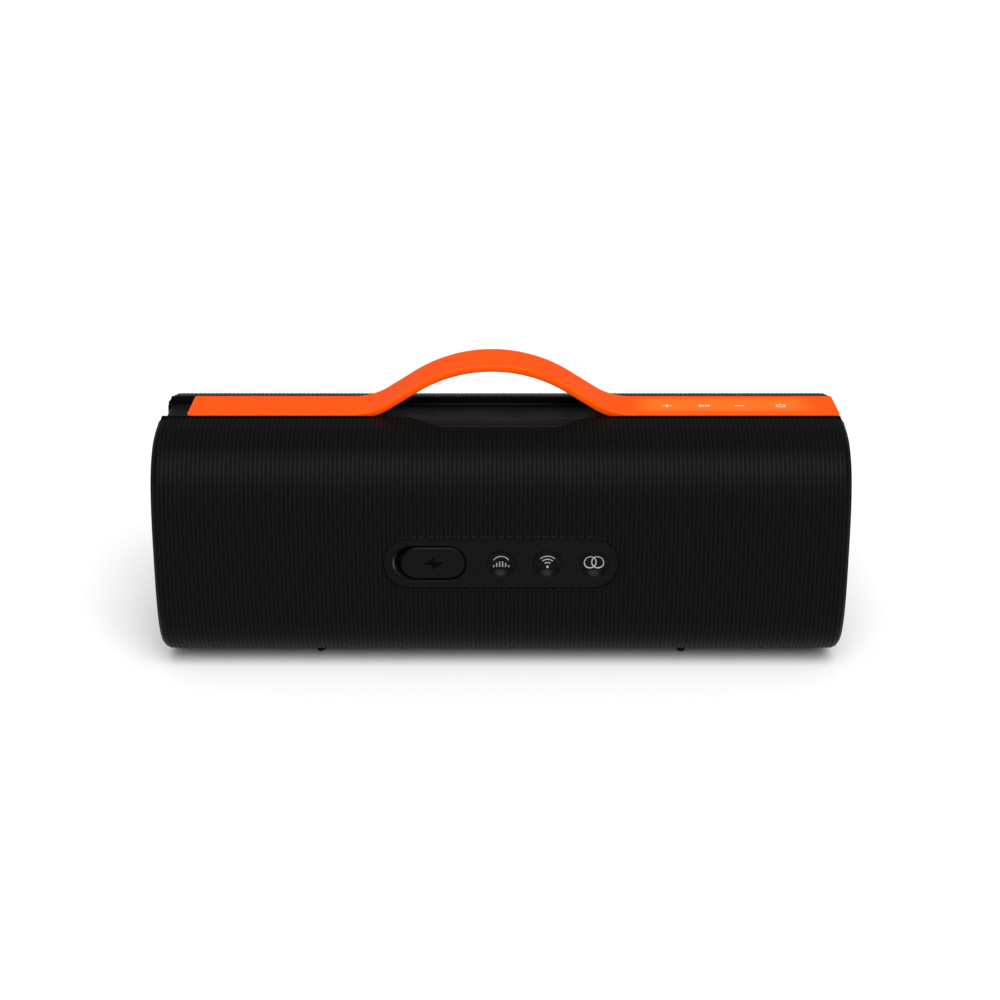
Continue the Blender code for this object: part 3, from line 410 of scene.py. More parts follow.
def new_piece(name, points, faces, material, degrees=38):
    """Object of points and faces; edges up to an angle in degrees still shade smooth."""
    mesh = bpy.data.meshes.new(name)
    mesh.from_pydata([tuple(map(float, point)) for point in points], [], faces)
    mesh.materials.append(MATERIALS[material])
    return shade(in_scene(name, mesh), degrees)


def shade(piece, degrees=38):
    """Smooth shading, except across edges sharper than an angle."""
    piece.data.shade_smooth()
    piece.data.set_sharp_from_angle(angle=math.radians(degrees))
    return piece


def changed(piece, change):
    """Runs a change on a piece's mesh, as a bmesh."""
    shape = bmesh.new()
    shape.from_mesh(piece.data)
    change(shape)
    shape.to_mesh(piece.data)
    shape.free()
    return piece


def outward(piece):
    """Turns all faces outward."""
    return changed(piece, lambda shape: bmesh.ops.recalc_face_normals(shape, faces=shape.faces))


def weld(piece, gap=0.000001):
    """Joins points that lie closer together than a gap."""
    return changed(
        piece, lambda shape: bmesh.ops.remove_doubles(shape, verts=shape.verts, dist=gap)
    )


def grid_faces(rows, columns, closed=False, flip=False):
    """Quads between rows of points; closed joins each row's last column to its first."""
    faces = []
    for row in range(rows - 1):
        for column in range(columns if closed else columns - 1):
            after = (column + 1) % columns
            face = (
                row * columns + column,
                row * columns + after,
                (row + 1) * columns + after,
                (row + 1) * columns + column,
            )
            faces.append(face[::-1] if flip else face)
    return faces


def loft(name, rings, material, cap_first=False, cap_last=False, closed=True, degrees=38):
    """Skin through rings with the same number of points, its faces turned outward."""
    columns = len(rings[0])
    points = [point for ring in rings for point in ring]
    faces = grid_faces(len(rings), columns, closed)
    if cap_first:
        faces.append(tuple(range(columns))[::-1])
    if cap_last:
        last = len(points) - columns
        faces.append(tuple(range(last, last + columns)))
    return outward(new_piece(name, points, faces, material, degrees))


def settle(piece):
    """Applies the modifiers to the mesh."""
    depsgraph = bpy.context.evaluated_depsgraph_get()
    mesh = bpy.data.meshes.new_from_object(piece.evaluated_get(depsgraph))
    piece.modifiers.clear()
    piece.data = mesh
    return piece


def carve(piece, tools, solver="EXACT", degrees=38):
    """Cuts the tools out of a piece and removes them."""
    for tool in tools:
        modifier = piece.modifiers.new(tool.name, "BOOLEAN")
        modifier.operation = "DIFFERENCE"
        modifier.solver = solver
        modifier.object = tool
    settle(piece)
    for tool in tools:
        bpy.data.objects.remove(tool, do_unlink=True)
    return shade(piece, degrees)


def arc(centre, radius, start, end, steps=20):
    """Points along an arc between two angles in degrees."""
    points = []
    for i in range(steps + 1):
        angle = math.radians(start + (end - start) * i / steps)
        points.append((centre[0] + radius * math.cos(angle), centre[1] + radius * math.sin(angle)))
    return points


def pill(length, height, steps=24, grow=0.0):
    """Outline of a slot with round ends, centred on the origin, anticlockwise."""
    right = arc(((length - height) / 2, 0), height / 2 + grow, -90, 90, steps)
    return right + [(-across, -up) for across, up in right]


def rounded_square(half, radius):
    """Outline of a square with round corners, centred on the origin, anticlockwise."""
    flat = half - radius
    corners = ((flat, flat), (-flat, flat), (-flat, -flat), (flat, -flat))
    turns = range(0, 360, 90)
    arcs = [arc(corner, radius, turn, turn + 90, 8) for corner, turn in zip(corners, turns)]
    return [point for corner in arcs for point in corner]


def on_panel(middle_x=0.0):
    """Placing function for shapes on the control side, round a place along X."""
    def place(across, up, depth):
        return (middle_x + across, depth, PANEL_Z + up)

    return place


def in_plan(middle_x=0.0):
    """Placing function for outlines seen from above, round a place along X."""
    def place(across, up, height):
        return (middle_x + across, up, height)

    return place


def prism(name, outline, start, end, place, material="panel_plastic"):
    """Closed prism of an outline; place turns (across, up, depth) into a point."""
    rings = [[place(across, up, depth) for across, up in outline] for depth in (start, end)]
    return loft(name, rings, material, True, True)


def lathe(name, profile, material, place, sides=96, start=0.0, sweep=2 * math.pi, degrees=38):
    """Turned surface from (radius, height) points; place turns (a, b, height) into a point."""
    whole = sweep == 2 * math.pi
    count = sides if whole else sides + 1
    rings = []
    for radius, height in profile:
        ring = []
        for i in range(count):
            angle = start + sweep * i / sides
            ring.append(place(radius * math.cos(angle), radius * math.sin(angle), height))
        rings.append(ring)
    piece = loft(name, rings, material, closed=whole, degrees=degrees)
    return outward(shade(weld(piece), degrees))


def curve_plate(name, outlines, matrix):
    """Plate from closed outlines, the first outside and the rest holes, with rounded edges."""
    curve = bpy.data.curves.new(name, "CURVE")
    curve.dimensions = "2D"
    curve.fill_mode = "BOTH"
    curve.extrude = PLATE_HALF - PLATE_EDGE
    curve.bevel_depth = PLATE_EDGE
    curve.bevel_resolution = 3
    for outline in outlines:
        spline = curve.splines.new("POLY")
        spline.points.add(len(outline) - 1)
        for point, (across, up) in zip(spline.points, outline):
            point.co = (across, up, 0, 1)
        spline.use_cyclic_u = True
    source = in_scene(name + "_curve", curve)
    depsgraph = bpy.context.evaluated_depsgraph_get()
    mesh = bpy.data.meshes.new_from_object(source.evaluated_get(depsgraph))
    bpy.data.objects.remove(source, do_unlink=True)
    mesh.transform(matrix)
    mesh.name = name
    mesh.materials.clear()
    mesh.materials.append(MATERIALS["panel_plastic"])
    return shade(outward(weld(in_scene(name, mesh), 0.000002)), 32)


def smooth(t):
    """Eases from 0 to 1, flat at both ends, for t held between 0 and 1."""
    t = min(max(t, 0), 1)
    return t * t * (3 - 2 * t)


def bend_across(piece, slot, bodies, start, end, *nodes):
    """Bakes a piece's transform into its mesh, in place of CAD nodes if any are given; slot, bodies, start and end
    are not used.
    """
    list(bodies)
    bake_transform(piece)
    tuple(start)
    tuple(end)
    if nodes:
        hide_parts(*nodes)


def finish(piece, body, slot, *nodes):
    """Rides a piece on a body, in place of CAD nodes if any are given; slot is not used."""
    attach(piece, body)
    if nodes:
        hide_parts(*nodes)
    return piece


# ---------------- body form

def dense_section(offset, count=6000):
    """Body section at an offset from its core, clockwise from the top, as rows of (Y, Z)."""
    angle = np.linspace(0, 2 * math.pi, count + 1)
    sine, cosine = np.sin(angle), np.cos(angle)
    y = CORE_DEPTH * np.sign(sine) * np.abs(sine) ** (2 / DEPTH_POWER)
    z = CORE_HEIGHT * np.sign(cosine) * np.abs(cosine) ** (2 / HEIGHT_POWER)
    across = np.abs(y / CORE_DEPTH) ** (DEPTH_POWER - 1) * DEPTH_POWER / CORE_DEPTH
    upward = np.abs(z / CORE_HEIGHT) ** (HEIGHT_POWER - 1) * HEIGHT_POWER / CORE_HEIGHT
    normal_y, normal_z = np.sign(y) * across, np.sign(z) * upward
    size = np.hypot(normal_y, normal_z)
    return np.stack([y + offset * normal_y / size, z + offset * normal_z / size], 1)


OUTER = dense_section(EDGE_ROUND)


def surface_z(y):
    """Height of the body's top surface at a depth y."""
    top = OUTER[OUTER[:, 1] > 0]
    order = np.argsort(top[:, 0])
    return SECTION_Z + float(np.interp(y, top[order, 0], top[order, 1]))


def slot_path(offset):
    """Open section from inside the slot's far edge, round the body, to its near edge."""
    path = dense_section(offset)
    edge = SLOT_HALF + SLOT_ROLL
    first = np.argmax(path[:, 0] > edge)
    last = len(path) - np.argmax(path[::-1, 0] < -edge)
    path = path[first:last]
    steps = np.hypot(*np.diff(path, axis=0).T)
    heading = np.unwrap(np.arctan2(*np.diff(path, axis=0).T[::-1]))
    turning = np.abs(np.diff(heading, prepend=heading[0]))
    weight = steps / steps.sum() + turning / turning.sum()
    total = np.concatenate([[0], np.cumsum(weight)])
    samples = np.linspace(0, total[-1], CLOTH_COLUMNS)
    body = np.stack([np.interp(samples, total, path[:, axis]) for axis in (0, 1)], 1)
    near = np.clip(1 - (np.abs(body[:, 0]) - edge) / SLOT_FADE, 0, 1) * (body[:, 1] > 0)
    body[:, 1] += SLOT_LIP * near ** 2 * (3 - 2 * near)
    low = TRAY_FLOOR + 0.0004 - SECTION_Z + min(offset - EDGE_ROUND, 0)
    roll = [(SLOT_HALF, low)]
    for angle in (90, 68, 45, 22):
        turn = math.radians(angle)
        drop = SLOT_ROLL * (1 - math.cos(turn))
        roll.append((edge - SLOT_ROLL * math.sin(turn), body[0, 1] - drop))
    roll = np.array(roll)
    return np.concatenate([roll, body, roll[::-1] * (-1, 1)])


def end_profile(s):
    """Place on the cloth's lengthwise profile: x, section offset and the two normal parts."""
    sign = 1 if s > 0 else -1
    past = abs(s) - STRAIGHT
    if past <= 0:
        return s, EDGE_ROUND, 0.0, 1.0
    turn = past / EDGE_ROUND
    if turn < math.pi / 2:
        x = STRAIGHT + EDGE_ROUND * math.sin(turn)
        return sign * x, EDGE_ROUND * math.cos(turn), sign * math.sin(turn), math.cos(turn)
    past -= EDGE_ROUND * math.pi / 2
    if past < END_FLAT:
        return sign * HALF_LENGTH, -past, sign, 0.0
    turn = min((past - END_FLAT) / END_ROLL, math.pi / 2)
    x = HALF_LENGTH - END_ROLL * (1 - math.cos(turn))
    return sign * x, -END_FLAT - END_ROLL * math.sin(turn), sign * math.cos(turn), -math.sin(turn)


def apron_edge(x):
    """Depth that the tray's apron reaches beside the arch at a place x."""
    start = -(SLOT_HALF + 0.0002)
    share = smooth((APRON_REACH - abs(x - APRON_X)) / (APRON_REACH - APRON_FLAT))
    return start + (TRAY_LOW.y - start) * share


def apron_outline(grow):
    """Outline of the apron in plan, closed inside the slot."""
    reach = APRON_REACH + grow
    places = [APRON_X - reach + 2 * reach * i / 60 for i in range(61)]
    edge = [(x, apron_edge(APRON_X + (x - APRON_X) * APRON_REACH / reach) - grow) for x in places]
    return [(APRON_X - reach, APRON_INSIDE), *edge, (APRON_X + reach, APRON_INSIDE)]


def cloth_places(piece, places):
    """Gives each vertex its place in the knit: ribs across and stitches along."""
    layer = piece.data.uv_layers.new(name="cloth")
    corners = np.empty(len(piece.data.loops), int)
    piece.data.loops.foreach_get("vertex_index", corners)
    layer.data.foreach_set("uv", np.array(places)[corners].ravel())


def rib(x):
    """Height of the cloth's ribs at a place along X."""
    return -RIB_HEIGHT * math.cos(2 * math.pi * x / CLOTH_PITCH)


def cloth_sleeve():
    """Knit sleeve, rolled in at both ends and along the slot, with ribs round the body."""
    half = STRAIGHT + EDGE_ROUND * math.pi / 2 + END_FLAT + END_ROLL * math.pi / 2
    rows = int(round(2 * half / (CLOTH_PITCH / 4))) + 1
    outer = slot_path(EDGE_ROUND)
    length = np.concatenate([[0], np.cumsum(np.hypot(*np.diff(outer, axis=0).T))])
    points, places = [], []
    for i in range(rows):
        s = -half + 2 * half * i / (rows - 1)
        x, offset, along, out = end_profile(s)
        path = slot_path(offset)
        tangent = np.gradient(path, axis=0)
        size = np.hypot(*tangent.T)
        normal = np.stack([-tangent[:, 1], tangent[:, 0]], 1) / size[:, None]
        for (y, z), v in zip(path + normal * rib(s) * out, length):
            points.append((x + along * rib(s), y, SECTION_Z + z))
            places.append((s / CLOTH_PITCH, v / CELL_HEIGHT))
    faces = grid_faces(rows, len(points) // rows, flip=True)
    cloth = new_piece("cloth_sleeve", points, faces, "knit_fabric", 180)
    cloth_places(cloth, places)
    solid = cloth.modifiers.new("thickness", "SOLIDIFY")
    solid.thickness = CLOTH_THICKNESS
    solid.offset = -1.0
    settle(cloth)
    plate = pill(PANEL_LENGTH, PANEL_HEIGHT, 32, GAP)
    tools = [
        prism("panel_cut", plate, *PANEL_CUT, on_panel()),
        prism("apron_cut", apron_outline(0.0002), *APRON_CUT, in_plan()),
    ]
    for side in ("left", "right"):
        middle = middle_of(f"foot_{side}")
        low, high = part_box(f"foot_{side}")
        outline = [(b, a) for a, b in pill(high.y - low.y, high.x - low.x, 12, GAP)]
        tools.append(prism(f"foot_cut_{side}", outline, *FOOT_CUT, in_plan(middle.x)))
    return carve(cloth, tools, "MANIFOLD", 60)


# ---------------- handle

def strap_section(half_width, half_thickness):
    """Closed outline (Y, height) of the strap, with soft edges and many points on top."""
    top_round, base_round = 0.0010, 0.0008
    across = half_width - top_round
    points = [(-across + 2 * across * i / 24, half_thickness) for i in range(25)]
    corners = ((top_round, 1, 1), (base_round, 1, -1), (base_round, -1, -1), (top_round, -1, 1))
    for number, (radius, side, up) in enumerate(corners):
        centre = (side * (half_width - radius), up * (half_thickness - radius))
        turned = arc(centre, radius, 90 - 90 * number, -90 * number, 5)
        points += turned[1:] if number in (0, 2) else turned
    draft = STRAP_UNDERCUT / (2 * half_thickness * half_width)
    return [(y * (1 - draft * (half_thickness - z)), z) for y, z in points[:-1]]


def arch_point(part, share):
    """Centre-line point and slope of the arch: part names its stretch, share runs along it."""
    side = -1 if part.endswith("left") else 1
    if part.startswith("top"):
        angle = SLOPE * (1 - share)
        x, z = TOP_RADIUS * math.sin(angle), TOP_Z - TOP_RADIUS * (1 - math.cos(angle))
    elif part.startswith("base"):
        angle = SLOPE * share
        x = HALF_SPAN - BASE_RADIUS * math.sin(angle)
        z = AXIS_Z + BASE_RADIUS * (1 - math.cos(angle))
    else:
        angle = SLOPE
        low = arch_point("base_right", 1.0)
        high = arch_point("top_right", 0.0)
        x = low[0] - ARCH_X + (high[0] - low[0]) * share
        z = low[1] + (high[1] - low[1]) * share
    return ARCH_X + side * x, z, side * angle


def strap_ring(x, z, slope, narrower=0.0, thinner=0.0, dished=False):
    """Section of the strap, square to its slope; narrower and thinner are for each side."""
    ring = []
    section = strap_section(STRAP_HALF_WIDTH - narrower, STRAP_HALF_THICKNESS - thinner)
    for y, height in section:
        if dished and height > 0:
            height -= dish(x, y)
        ring.append((x + height * math.sin(slope), y, z + height * math.cos(slope)))
    return ring


def dish(x, y):
    """How far the key area is sunk at a place on the strap."""
    along = smooth(min(x - DISH_START, DISH_END - x) / DISH_FADE)
    return DISH_DEPTH * along * max(1 - (y / DISH_HALF_WIDTH) ** 2, 0)


def end_rounding(distance, radius):
    """How far a rounded end draws in at a distance from its tip."""
    inside = max(radius - distance, 0)
    return radius - math.sqrt(max(radius ** 2 - inside ** 2, 0))


def flat_strap(name, tip, root, dished):
    """Flat stretch of strap from its free tip to where the arch starts."""
    direction = 1 if root > tip else -1
    length = abs(root - tip)
    rings = []
    for distance in [*TIP_STEPS, *np.arange(0.0025, length - 0.0005, 0.0009), length]:
        narrower = end_rounding(distance, TIP_ROUND)
        thinner = end_rounding(distance, TIP_EDGE)
        x = tip + direction * distance
        rings.append(strap_ring(x, AXIS_Z, 0.0, narrower, thinner, dished))
    return loft(name, rings, "strap_silicone", True, dished)


def strap_right():
    """Fixed right end, with holes for its keys."""
    piece = flat_strap("strap_right_skin", STRAP_RIGHT_END, ARCH_X + HALF_SPAN, True)
    hole = rounded_square(KEY_HALF + KEY_CLEARANCE, KEY_ROUND + KEY_CLEARANCE)
    over = AXIS_Z + 0.01
    tools = [
        prism(f"{key}_cut", hole, KEY_FLOOR, over, in_plan(middle_of(key).x)) for key in KEYS
    ]
    finish(carve(piece, tools), "case", "strap_silicone", "strap_right")


def strap_left():
    """Left end, which slides as the arch folds."""
    piece = flat_strap("strap_left_skin", STRAP_LEFT_END, ARCH_X - HALF_SPAN, False)
    finish(piece, "strap_left", "strap_silicone", "strap_left")


def strap_arch():
    """Curved stretches of strap, each lying across one hinge of the handle."""
    bodies = ["case"] + [f"strap_link_{number}" for number in range(1, 8)] + ["strap_left"]
    stretches = [
        [("base_right", 0.0, 0.5)],
        [("base_right", 0.5, 1.0), ("flank_right", 0.0, 0.5)],
        [("flank_right", 0.5, 1.0), ("top_right", 0.0, 0.5)],
        [("top_right", 0.5, 1.0)],
        [("top_left", 1.0, 0.5)],
        [("top_left", 0.5, 0.0), ("flank_left", 1.0, 0.5)],
        [("flank_left", 0.5, 0.0), ("base_left", 1.0, 0.5)],
        [("base_left", 0.5, 0.0)],
    ]
    for number, stretch in enumerate(stretches, 1):
        stations = []
        for part, start, end in stretch:
            steps = 10 if part.startswith("flank") else 16
            shares = [start + (end - start) * i / steps for i in range(steps + 1)]
            places = [arch_point(part, share) for share in shares]
            stations += places[1:] if stations else places
            if not part.startswith("flank"):
                bend = places[0], places[-1]
        rings = [strap_ring(x, z, slope) for x, z, slope in stations]
        piece = loft(f"strap_arch_{number}", rings, "strap_silicone")
        start, end = [(x, 0, z) for x, z, _ in bend]
        nodes = [f"strap_link_{number}"] if number < 8 else []
        pair = bodies[number - 1:number + 1]
        bend_across(piece, "strap_silicone", pair, start, end, *nodes)


def strap_surface(x, y):
    """Height of the flat strap's top at a place."""
    return AXIS_Z + STRAP_HALF_THICKNESS - dish(x, y)


def strap_keys():
    """Soft square keys that follow the sunk surface of the strap."""
    for key in KEYS:
        middle = middle_of(key)
        outline = rounded_square(KEY_HALF, KEY_ROUND)
        rings = []
        for share in (1.0, 1.0, 0.985, 0.96, 0.9, 0.8, 0.65, 0.5, 0.35, 0.2, 0.08):
            ring = []
            for across, up in outline:
                x, y = middle.x + across * share, up * share
                sink = KEY_SINK if share == 1.0 else 0
                ring.append((x, y, strap_surface(x, y) - sink))
            rings.append(ring)
        rings[0] = [(x, y, z - KEY_DEPTH) for x, y, z in rings[0]]
        piece = loft(key + "_cap", rings, "strap_silicone", True, True)
        finish(piece, key, "strap_silicone", key)


# ---------------- printed marks

def line(start, end, steps=6):
    """Evenly spaced points along a straight line."""
    return [tuple(a + (b - a) * i / steps for a, b in zip(start, end)) for i in range(steps + 1)]


def stroke(points, width):
    """Left and right edges of a stroke of some width along a line of points."""
    places = [Vector(point) for point in points]
    sides = []
    for i, place in enumerate(places):
        ahead = places[min(i + 1, len(places) - 1)] - places[max(i - 1, 0)]
        across = Vector((-ahead.y, ahead.x)).normalized() * width / 2
        sides.append((place + across, place - across))
    return sides


def mark(name, lines, width, material, place):
    """Thin inlaid strokes; place turns (across, up, lift) into a point on the surface."""
    points, faces = [], []
    for sides in [stroke(line_points, width) for line_points in lines]:
        first = len(points)
        for left, right in sides:
            points += [place(spot.x, spot.y, MARK_LIFT) for spot in (left, right)]
            points += [place(spot.x, spot.y, -MARK_SINK) for spot in (right, left)]
        count = len(sides)
        faces += [tuple(first + i for i in face) for face in grid_faces(count, 4, True)]
        faces.append(tuple(first + i for i in range(4)))
        faces.append(tuple(first + (count - 1) * 4 + i for i in (3, 2, 1, 0)))
    return outward(new_piece(name, points, faces, material, 30))


def key_marks():
    """Plus, play and pause, minus and power, in pale print."""
    bold = 0.00055
    play = [(-0.0017, -0.0013), (0.0003, 0.0), (-0.0017, 0.0013)]
    shapes = {
        "key_volume_up": [line((-0.0020, 0), (0.0020, 0)), line((0, -0.0020), (0, 0.0020))],
        "key_play": [line(a, b) for a, b in zip(play, play[1:] + play[:1])]
        + [line((0.0011, -0.0013), (0.0011, 0.0013)), line((0.0021, -0.0013), (0.0021, 0.0013))],
        "key_volume_down": [line((-0.0020, 0), (0.0020, 0))],
        "key_power": [arc((0, 0), 0.0018, 125, 415), line((0, 0.0006), (0, 0.0024))],
    }
    for key, lines in shapes.items():
        middle = middle_of(key).x

        def place(across, up, lift):
            return (middle + across, up, strap_surface(middle + across, up) + lift)

        finish(mark(key + "_mark", lines, bold, "key_print", place), key, "strap_silicone")


# ---------------- tray

def tray():
    """Channel floor under the strap, turned up at its sides and down at its open ends."""
    outer, fillet = 0.0149, 0.0006
    bend = TRAY_FLOOR + fillet
    half = [(outer, TRAY_LOW.z), (outer, bend), (CHANNEL_HALF, bend)]
    for angle in (30, 60, 90):
        turn = math.radians(angle)
        y = CHANNEL_HALF - fillet + fillet * math.cos(turn)
        half.append((y, bend - fillet * math.sin(turn)))
    section = half + [(-y, z) for y, z in half[::-1]]
    places = [d - TRAY_HIGH.x for d in TIP_STEPS] + [TRAY_HIGH.x - d for d in TIP_STEPS[::-1]]
    rings = []
    for x in places:
        drop = end_rounding(TRAY_HIGH.x - abs(x), TIP_ROUND)
        rings.append([(x, y, z - (drop if z > TRAY_LOW.z else 0)) for y, z in section])
    piece = loft("tray_channel", rings, "case_plastic", True, True, degrees=50)
    slot_x = middle_of("strap_runner").x - 0.0048
    slot = prism("runner_cut", pill(0.0190, 0.0046), *RUNNER_CUT, in_plan(slot_x))
    finish(carve(piece, [slot], degrees=50), "case", "case_plastic", "top_tray")


def tray_rims():
    """Thin rims of the tray that close the gap beside the flat stretches of strap; their dark, dull colour is
    painted shade for the gap.
    """
    inner, outer = STRAP_HALF_WIDTH + 0.0004, 0.0147
    top = surface_z(outer) + SLOT_LIP + 0.0003
    section = [(inner, TRAY_FLOOR), (inner, top - 0.0003), (inner + 0.0001, top - 0.0001)]
    section += [(inner + 0.0003, top), (outer - 0.0004, top), (outer - 0.0001, top - 0.0001)]
    section += [(outer, top - 0.0004), (outer, TRAY_FLOOR)]
    reach = TRAY_HIGH.x - 0.0002
    steps = (0.0, 0.0003, 0.0010, 0.004, RIM_FADE)
    spans = {"left": (-reach, ARCH_X - RIM_START), "right": (ARCH_X + RIM_START, reach)}
    for side, (start, end) in spans.items():
        stations = [start + step for step in steps] + [end - step for step in steps[::-1]]
        for edge, sign in (("near", -1), ("far", 1)):
            rings = []
            for x in stations:
                inward = x - start if side == "right" else end - x
                sink = RIM_SINK * max(1 - inward / RIM_FADE, 0) ** 2
                sink += end_rounding(min(x - start, end - x), RIM_EDGE)
                lowered = [(y, z - (sink if z > TRAY_FLOOR else 0)) for y, z in section]
                rings.append([(x, sign * y, z) for y, z in lowered])
            name = f"tray_rim_{side}_{edge}"
            piece = loft(name, rings, "rim_rubber", True, True, degrees=50)
            finish(piece, "case", "case_plastic")


def tray_apron():
    """Smooth lobe beside the arch, level with the cloth and turned down into the channel."""
    fold, least_fold, lip, skirt = 0.0017, 0.0006, 0.0004, 0.0006
    rows = 120
    reach = APRON_REACH - 0.0001
    rings = []
    for i in range(rows + 1):
        x = APRON_X - reach + 2 * reach * i / rows
        end = apron_edge(x) + lip
        turned = min(fold, max(-CHANNEL_HALF - apron_edge(x) - lip, least_fold))
        ring = [(-CHANNEL_HALF, TRAY_FLOOR)]
        for angle in (0, 22, 45, 68, 90):
            turn = math.radians(angle)
            z = surface_z(-CHANNEL_HALF - turned) - turned * (1 - math.sin(turn))
            ring.append((-CHANNEL_HALF - turned * (1 - math.cos(turn)), z))
        first = ring[-1][0]
        for step in range(1, 9):
            y = first + (end - first) * step / 8 if end < first else first - 0.00001 * step
            ring.append((y, surface_z(y)))
        last_y, last_z = ring[-1]
        for angle in (30, 60, 90):
            turn = math.radians(angle)
            ring.append((last_y - lip * math.sin(turn), last_z - lip * (1 - math.cos(turn))))
        ring.append((ring[-1][0], ring[-1][1] - skirt))
        rings.append([(x, y, z) for y, z in ring])
    piece = loft("tray_apron", rings, "case_plastic", closed=False, degrees=60)
    finish(piece, "case", "case_plastic")


# ---------------- rear panel

def rear_panel():
    """Pill-shaped plate with the port pocket and the button wells, all with soft edges."""
    hole = arc((0, 0), BUTTON_RADIUS + 0.00005 + PLATE_EDGE, 0, 352.5, 47)
    pocket = pill(POCKET_LENGTH, POCKET_HEIGHT, 24, 0.0001 + PLATE_EDGE)
    outlines = [
        pill(PANEL_LENGTH, PANEL_HEIGHT, 32, 0.00005 - PLATE_EDGE),
        [(POCKET_X + a, b) for a, b in pocket],
        *([(x + a, b) for a, b in hole] for x in BUTTONS.values()),
    ]
    middle = Matrix.Translation((0, PANEL_FACE + PLATE_HALF, PANEL_Z))
    upright = middle @ Matrix.Rotation(math.pi / 2, 4, "X")
    panel = curve_plate("rear_panel_plate", outlines, upright)
    finish(panel, "case", "case_plastic", "rear_panel")
    # The pocket's wall, as growth, scoop of its left end and depth, and then the port's mouth.
    wall = [
        (0.0, 0.0000, PANEL_FACE + 0.0004),
        (0.0, 0.0001, PANEL_FACE + 0.0005),
        (0.0, 0.0007, PANEL_FACE + 0.0009),
        (0.0, 0.0012, PANEL_FACE + 0.0014),
        (0.0, 0.0014, PANEL_FACE + 0.0020),
        (0.0, 0.0014, POCKET_FLOOR - 0.0016),
        (-0.0003, 0.0014, POCKET_FLOOR - 0.0007),
        (-0.0010, 0.0014, POCKET_FLOOR - 0.0002),
        (-0.0020, 0.0014, POCKET_FLOOR),
    ]
    mouth = [(0.0006, 0.0), (0.0003, 0.0003), (0.0003, 0.0012)]
    place = on_panel(POCKET_X)
    rings = []
    for grow, scoop, depth in wall:
        outline = pill(POCKET_LENGTH, POCKET_HEIGHT, 24, grow)
        rings.append([place(a + (scoop if a < 0 else 0), b, depth) for a, b in outline])
    place = on_panel(SOCKET_X)
    for grow, depth in mouth:
        outline = pill(0.0090, 0.0032, 24, grow)
        rings.append([place(a, b, POCKET_FLOOR + depth) for a, b in outline])
    # The pocket is a hollow, so its faces turn inward.
    points = [point for ring in rings for point in ring]
    faces = grid_faces(len(rings), len(rings[0]), True, True)
    # The cup's colour is paler than the plate's, partly painted light.
    cup = new_piece("port_pocket_cup", points, faces, "pocket_gloss")
    finish(cup, "case", "case_plastic")
    radius, back = BUTTON_RADIUS + 0.0003, PANEL_FACE + 0.0040
    well = [(radius, PANEL_FACE + 0.0010), (radius, back), (0.0030, back)]
    for name, x in BUTTONS.items():
        piece = lathe(name + "_well", well, "panel_plastic", on_panel(x), 64)
        finish(piece, "case", "case_plastic")


def panel_hem():
    """Raised rolled edge of the cloth round the panel, with the ribs running over it."""
    reach = (PANEL_LENGTH - PANEL_HEIGHT) / 2
    straight = int(2 * reach / (CLOTH_PITCH / 4))
    round_steps = 70
    outline = []
    for side in (1, -1):
        for i in range(round_steps):
            turn = math.pi * i / round_steps - math.pi / 2
            outline.append((side * reach, side * math.cos(turn), side * math.sin(turn)))
        for i in range(straight):
            outline.append((side * (reach - 2 * reach * i / straight), 0.0, side))
    profile = [(0.0, -0.0012), (0.0, 0.0001), (0.00012, 0.00030), (0.00035, 0.00040)]
    profile += [(0.0006, 0.00033), (0.0009, 0.00012), (0.0011, -0.0001), (0.0012, -0.0006)]
    place = on_panel()
    rings, places = [], []
    for across, height in profile:
        radius = PANEL_HEIGHT / 2 + across
        ring = []
        for middle, normal_x, normal_z in outline:
            x, z = middle + normal_x * radius, normal_z * radius
            raised = height + (rib(x) if height > 0 else 0.0)
            ring.append(place(x, z, -HALF_DEPTH - raised))
            places.append((x / CLOTH_PITCH, z / CELL_HEIGHT))
        rings.append(ring)
    piece = loft("panel_hem", rings, "knit_fabric", degrees=180)
    cloth_places(piece, places)
    finish(piece, "case", "knit_fabric")


def button_depth(radius):
    """Depth of a button's dished face behind the panel's face."""
    share = min(radius / (BUTTON_RADIUS - 0.0004), 1)
    return 0.0001 + BUTTON_DISH * (1 - share ** 3)


def panel_buttons():
    """Button caps with a dished face and a soft rim."""
    radii = [BUTTON_RADIUS * i / 24 * 0.93 for i in range(25)]
    profile = [(radius, PANEL_FACE + button_depth(radius)) for radius in radii]
    profile += [
        (BUTTON_RADIUS - 0.0002, BUTTON_RIM),
        (BUTTON_RADIUS - 0.00006, BUTTON_RIM + 0.00006),
        (BUTTON_RADIUS, BUTTON_RIM + 0.0002),
        (BUTTON_RADIUS, BUTTON_RIM + 0.0028),
        (0.0, BUTTON_RIM + 0.0028),
    ]
    for name, x in BUTTONS.items():
        piece = lathe(name + "_cap", profile, "panel_plastic", on_panel(x), 72)
        finish(piece, name, "case_plastic", name)


